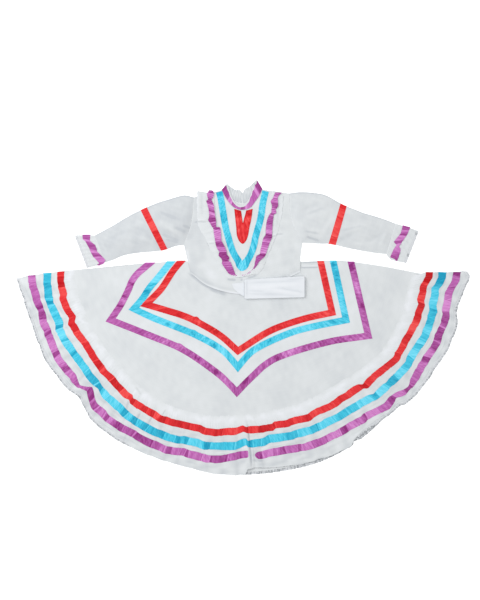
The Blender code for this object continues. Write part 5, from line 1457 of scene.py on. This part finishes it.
def makeCuff(side, wrist):
    ending = side.capitalize()
    named = fillRows([beyond(wrist, 0.1, side), *acrossLines(cuffs[side])], cuffs["cells"])
    lift = fillRows(np.array(cuffs["lift"])[:, None], cuffs["cells"])
    turns = np.linspace(0.0, 2 * math.pi, cuffs["round"], endpoint=False)
    around = cuffs["width"] * roundShare(turns)
    surface = tubeGrid(named, cuffSkin(side, turns, lift), turns)
    edge = np.linspace(0, 1, len(surface))[:, None]
    # tone: painted shade and light following its gathers, cloudy, and lighter along its seam and its rim
    tone = np.sin(turns) * gathersAt(around, "cuffTone") + unevenAt(*xy(surface), "cuffTone")
    tone = tone - 0.05 + 0.35 * (1 - ease(edge, 0.0, 0.06)) + 0.3 * ease(edge, 0.94, 1.0)
    addPiece(f"cuff{ending}", surface, "white_poplin", walls["shown"], tone, wrap=True)

    # violet ribbon sewn over the gathers, pinched and wandering with them
    bandTurns = np.linspace(-0.35, math.pi + 0.35, 170)
    across, sine = roundShare(bandTurns), np.sin(bandTurns)
    table = np.array(cuffs["twists"][side], float)
    run = runOf(0.5 * (table[:, :2] + table[:, 2:]))
    outer, inner = twistedEdges(table, run / run[-1], np.linspace(0.0, 1.0, 60))
    lines, t = between(inner, outer, 10)
    strip = tubeGrid(lines, cuffSkin(side, bandTurns, lift[5:15]), bandTurns, sleeves["ribbonLift"])
    strip[..., 2] += 0.9 * np.clip(sine, 0, 1)
    at = across + 0.02 * (2 * t - 1)
    slant = cuffs["width"] * across + 6 * np.minimum(sine, 0) + 3 * at
    tone = placedTone(at, cuffs["facets"][side], 0.008, 0.3) + gathersAt(slant, "cuffRibbonTone")
    addPiece(f"cuffRibbon{ending}", strip, "violet_satin", walls["ribbon"], tone)

    # lace round the rim: a flat tube, its outer edge scalloped
    reach = cuffs["laceReach"]
    rims = [beyond(named[-1], distance, side) for distance in reach]
    strip = tubeGrid(rims, cuffSkin(side, turns, np.repeat(lift[-1:], len(rims), axis=0)), turns)
    t = np.linspace(0, 1, len(rims))[:, None]
    out = (strip[-1, :, :2] - strip[0, :, :2]) / (reach[-1] - reach[0])
    strip[..., :2] += (t**2)[..., None] * out * scallops(around, *cuffs["laceScallop"])[:, None]
    tone = 0.35 * (2 * t - 1) + creases(*xy(strip), cuffs["darkerSpots"][side])
    addPiece(f"cuffLace{ending}", strip, "white_lace", walls["lace"], tone, wrap=True)


for side in ("left", "right"):
    makeCuff(side, makeSleeve(side))
print("sleeves made")


# Folded sash

sash = {
    "left": 4.0, "right": 192.0, "bottom": 91.0, "top": 157.0, "corner": 5.0, "layers": 4, "layer": 1.4,
    # how far each ring of its outline is drawn in: on the underside, through one layer's thickness, on the top
    "under": (32.6, 24.0, 14.0, 6.0, 2.0),
    "fold": ((0.03, 1.2), (0.15, 0.21), (0.35, 0.0), (0.65, 0.0), (0.85, 0.21), (0.97, 1.2)),
    "over": (3.0, 5.0, 8.0, 11.0, 14.0, 17.0, 20.0, 23.0, 26.0, 29.0, 31.0, 32.6),
    # how far each layer's folded edge wanders at the open right end
    "wander": (-0.72, 0.0, -1.68, -0.48, 0.0),
    "topEdge": (150, 161), "bottomEdge": (90, 95),
    "near": ((3.4, 142), (3.4, 119), (3.4, 97)), "far": ((-34, 137), (-28, 122), (-14, 108)),
    # its top: height and tone of its pressed folds, painted shade and light, the painted shade at its folded
    # edges, and the half width and height to which it is plumped up
    "pressed": 0.8, "pressedTone": 0.9, "foldTone": -0.5, "plump": (34.0, 0.15),
    # how far its lower edge and its right end settle
    "settle": (1.2, 0.8),
    # folds pressed into its top: x1, y1, x2, y2, half width, height
    "creases": ((14, 140, 182, 146, 3, -0.6), (60, 130, 186, 136, 5, 0.4), (110, 124, 190, 110, 3, -0.8),
                (90, 118, 186, 104, 4, 0.5), (12, 106, 120, 101, 3, -0.5), (12, 152, 13, 94, 2.5, -0.9),
                (20, 126, 100, 122, 6, 0.4), (60, 108, 184, 98, 3, -0.6), (140, 150, 188, 154, 2.5, -0.7),
                (15, 116, 70, 113, 3, -0.4)),
}


# outline of a rectangle with rounded corners, drawn in by an inset; quarter turns joined by straights
def roundedOutline(inset):
    radius = np.maximum(sash["corner"] - inset, 0.4)
    quarter = math.pi / 2
    turn = np.linspace(0.0, quarter, 7)
    x0, x1 = sash["left"] + inset + radius, sash["right"] - inset - radius
    y0, y1 = sash["bottom"] + inset + radius, sash["top"] - inset - radius
    corners = [np.column_stack([x + radius * np.cos(turn + k * quarter), y + radius * np.sin(turn + k * quarter)])
               for k, (x, y) in enumerate(((x1, y1), (x0, y1), (x0, y0), (x1, y0)))]
    sides = []
    for k, (corner, after) in enumerate(zip(corners, corners[1:] + corners[:1])):
        t = np.linspace(0.0, 1.0, (42, 18)[k % 2])[1:-1, None]
        sides += [corner, corner[-1] * (1 - t) + after[0] * t]
    return np.vstack(sides)


def makeSash():
    base, step = 2 * levels["overFront"], sash["layer"]
    full = base + sash["layers"] * step
    rings = [(base + 0.05, inset) for inset in sash["under"]]
    for layer in range(sash["layers"]):
        rings += [(base + (layer + at) * step, inset) for at, inset in sash["fold"]]
    rings += [(full + 0.1, 1.6)] + [(full + 0.25, inset) for inset in sash["over"]]
    heights, insets = np.array(rings).T[..., None]
    plan = np.array([roundedOutline(inset) for _, inset in rings])
    x, y = xy(plan)
    z = heights + 0 * x
    top = z > full + 0.2
    middle = 0.5 * (sash["bottom"] + sash["top"])
    wide, plump = sash["plump"]
    pillow = np.clip(1 - ((y - middle) / wide) ** 2, 0, 1) ** 0.5 * plump
    z = z + top * (sash["pressed"] * creases(x, y, sash["creases"]) + unevenAt(x, y, "sash") - 0.35 + pillow)
    # the folded edges wander a little from layer to layer, more at the open right end
    layer = np.clip((z - base) / step, 0, sash["layers"]).astype(int)
    x += (~top & (z > base + 0.1)) * ease(x, 120, 190) * np.array(sash["wander"])[layer]
    # it lies a little turned and wider at its open end, and its lower edge settles on the skirt
    along = np.clip((x - sash["left"]) / (sash["right"] - sash["left"]), 0, 1)
    high = (y - sash["bottom"]) / (sash["top"] - sash["bottom"])
    low, up = (a + (b - a) * along for a, b in (sash["bottomEdge"], sash["topEdge"]))
    y[:] = low + (up - low) * high
    lower, right = sash["settle"]
    z = z - lower * (1 - ease(high, 0.0, 0.5)) - right * ease(along, 0.8, 1.0)
    tone = unevenAt(x, y, "sashTone") + sash["pressedTone"] * top * creases(x, y, sash["creases"])
    tone = tone + sash["foldTone"] * np.isclose(insets, sash["fold"][0][1])
    addPiece("sashFolded", stack(plan, z), "white_sash_cotton", None, tone, wrap=True, capped=True)
    plan, _ = between(smoothly(sash["near"], 40), smoothly(sash["far"], 40), 26)
    x, y = xy(plan)
    surface = stack(plan, base + 0.9 + unevenAt(x, y, "sashEnd"))
    addPiece("sashEnd", surface, "white_sash_cotton", walls["sashEnd"], unevenAt(x, y, "sashEndTone"))


makeSash()
print("sash made")


# What each sheet was cut to, in metres: length, width, how it is held, what it lies on, and its area where it
# isn't a rectangle
cuts = {
    "skirtBack": (1.12, 0.53, "laid", "floor", 0.442),
    "skirtFront": (1.12, 0.53, "laid", "skirtBack", 0.445),
    "waistbandGathered": (0.25, 0.025, "gathered", "floor"),
    "flounceBack": (2.05, 0.125, "gathered", "floor"),
    "hemLaceBack": (2.10, 0.010, "laid", "floor"),
    "flounceFront": (2.15, 0.188, "gathered", "skirtFront flounceBack"),
    "flounceRibbonRed": (2.15, 0.022, "gathered", "flounceFront"),
    "flounceRibbonBlue": (2.15, 0.022, "gathered", "flounceFront"),
    "flounceRibbonViolet": (2.15, 0.022, "gathered", "flounceFront"),
    "hemLaceFront": (2.20, 0.010, "laid", "hemLaceBack"),
    "starRibbonRed": (0.99, 0.022, "laid", "skirtFront"),
    "starRibbonBlue": (1.12, 0.022, "laid", "skirtFront"),
    "starRibbonViolet": (1.36, 0.022, "laid", "skirtFront"),
    "blouseFront": (0.374, 0.31, "laid", "blouseBackLeft blouseBackRight skirtFront", 0.091),
    "blouseBackLeft": (0.187, 0.30, "laid", "floor skirtFront", 0.0462),
    "blouseBackRight": (0.187, 0.30, "laid", "floor skirtFront", 0.0464),
    "collarFront": (0.20, 0.030, "laid", "collarBackLeft collarBackRight", 0.0039),
    "collarBackLeft": (0.079, 0.040, "gathered", "floor", 0.0022),
    "collarBackRight": (0.079, 0.043, "gathered", "floor", 0.0026),
    "collarRibbon": (0.188, 0.017, "laid", "collarFront", 0.0029),
    "yokeRibbon": (0.49, 0.021, "laid", "blouseFront"),
    "keyholeRibbon": (0.056, 0.108, "laid", "blouseFront", 0.0039),
    "yokeRuffle": (0.76, 0.044, "gathered", "blouseFront"),
    "ruffleRibbon": (0.74, 0.016, "gathered", "yokeRuffle"),
    "sleeveLeft": (0.336, 0.31, "laid", "floor", 0.0751),
    "sleeveRight": (0.347, 0.32, "laid", "floor", 0.0820),
    "sleeveRibbonLeft": (0.156, 0.022, "laid", "sleeveLeft"),
    "sleeveRibbonRight": (0.142, 0.022, "laid", "sleeveRight"),
    "cuffLeft": (0.25, 0.053, "gathered", "floor"),
    "cuffRight": (0.26, 0.067, "gathered", "floor"),
    "cuffRibbonLeft": (0.14, 0.020, "gathered", "cuffLeft"),
    "cuffRibbonRight": (0.16, 0.022, "gathered", "cuffRight"),
    "cuffLaceLeft": (0.24, 0.010, "laid", "floor"),
    "cuffLaceRight": (0.24, 0.010, "laid", "floor"),
    "sashFolded": (0.20, 0.078, "folded", "blouseFront skirtFront"),
    "sashEnd": (0.045, 0.037, "laid", "blouseFront", 0.0011),
}
for name, (length, width, held, under, *area) in cuts.items():
    area = area[0] if area else None
print("sheets declared:", len(cuts))


# Floor, lights and camera

stage = {
    "floor": 8.0, "floorZ": -0.0005, "floorWhite": "FFFFFF", "floorGlow": 0.45, "fill": 0.62,
    "lights": {"keyLight": ((-2.2, 1.6, 2.6), 2.4, 62.0), "topLight": ((0.9, -0.8, 3.6), 1.4, 21.7)},
    "aim": (0.0, 0.1, 0.0), "lens": 85.0, "eye": (-0.0093, 0.0868, 4.39),
}


def makeStage():
    scene = bpy.context.scene
    size, z = stage["floor"], stage["floorZ"]
    mesh = bpy.data.meshes.new("floor")
    mesh.from_pydata([(-size, -size, z), (size, -size, z), (size, size, z), (-size, size, z)], [], [(0, 1, 2, 3)])
    material = bpy.data.materials.new("white_seamless_paper")
    material.use_nodes = True
    white = linear(stage["floorWhite"])
    paper = {"Base Color": white, "Roughness": 0.95, "Specular IOR Level": 0.0, "Emission Color": white,
             "Emission Strength": stage["floorGlow"]}
    for key, value in paper.items():
        material.node_tree.nodes["Principled BSDF"].inputs[key].default_value = value
    mesh.materials.append(material)
    floor = bpy.data.objects.new("floor", mesh)
    scene.collection.objects.link(floor)

    world = bpy.data.worlds.new("studio")
    scene.world = world
    world.use_nodes = True
    background = world.node_tree.nodes["Background"]
    background.inputs["Color"].default_value = (1.0, 1.0, 1.0, 1.0)
    background.inputs["Strength"].default_value = stage["fill"]

    for name, (place, size, power) in stage["lights"].items():
        light = bpy.data.lights.new(name, "AREA")
        light.shape = "SQUARE"
        light.size = size
        light.energy = power
        lamp = bpy.data.objects.new(name, light)
        lamp.location = place
        x, y, z = np.subtract(stage["aim"], place)
        lamp.rotation_euler = (math.atan2(math.hypot(x, y), -z), 0.0, math.atan2(x, -y) + math.pi)
        scene.collection.objects.link(lamp)

    camera = bpy.data.cameras.new("camera")
    camera.lens = stage["lens"]
    camera.sensor_width = 36.0
    eye = bpy.data.objects.new("camera", camera)
    eye.location = stage["eye"]
    scene.collection.objects.link(eye)
    scene.camera = eye
    scene.view_settings.view_transform = "Standard"


makeStage()
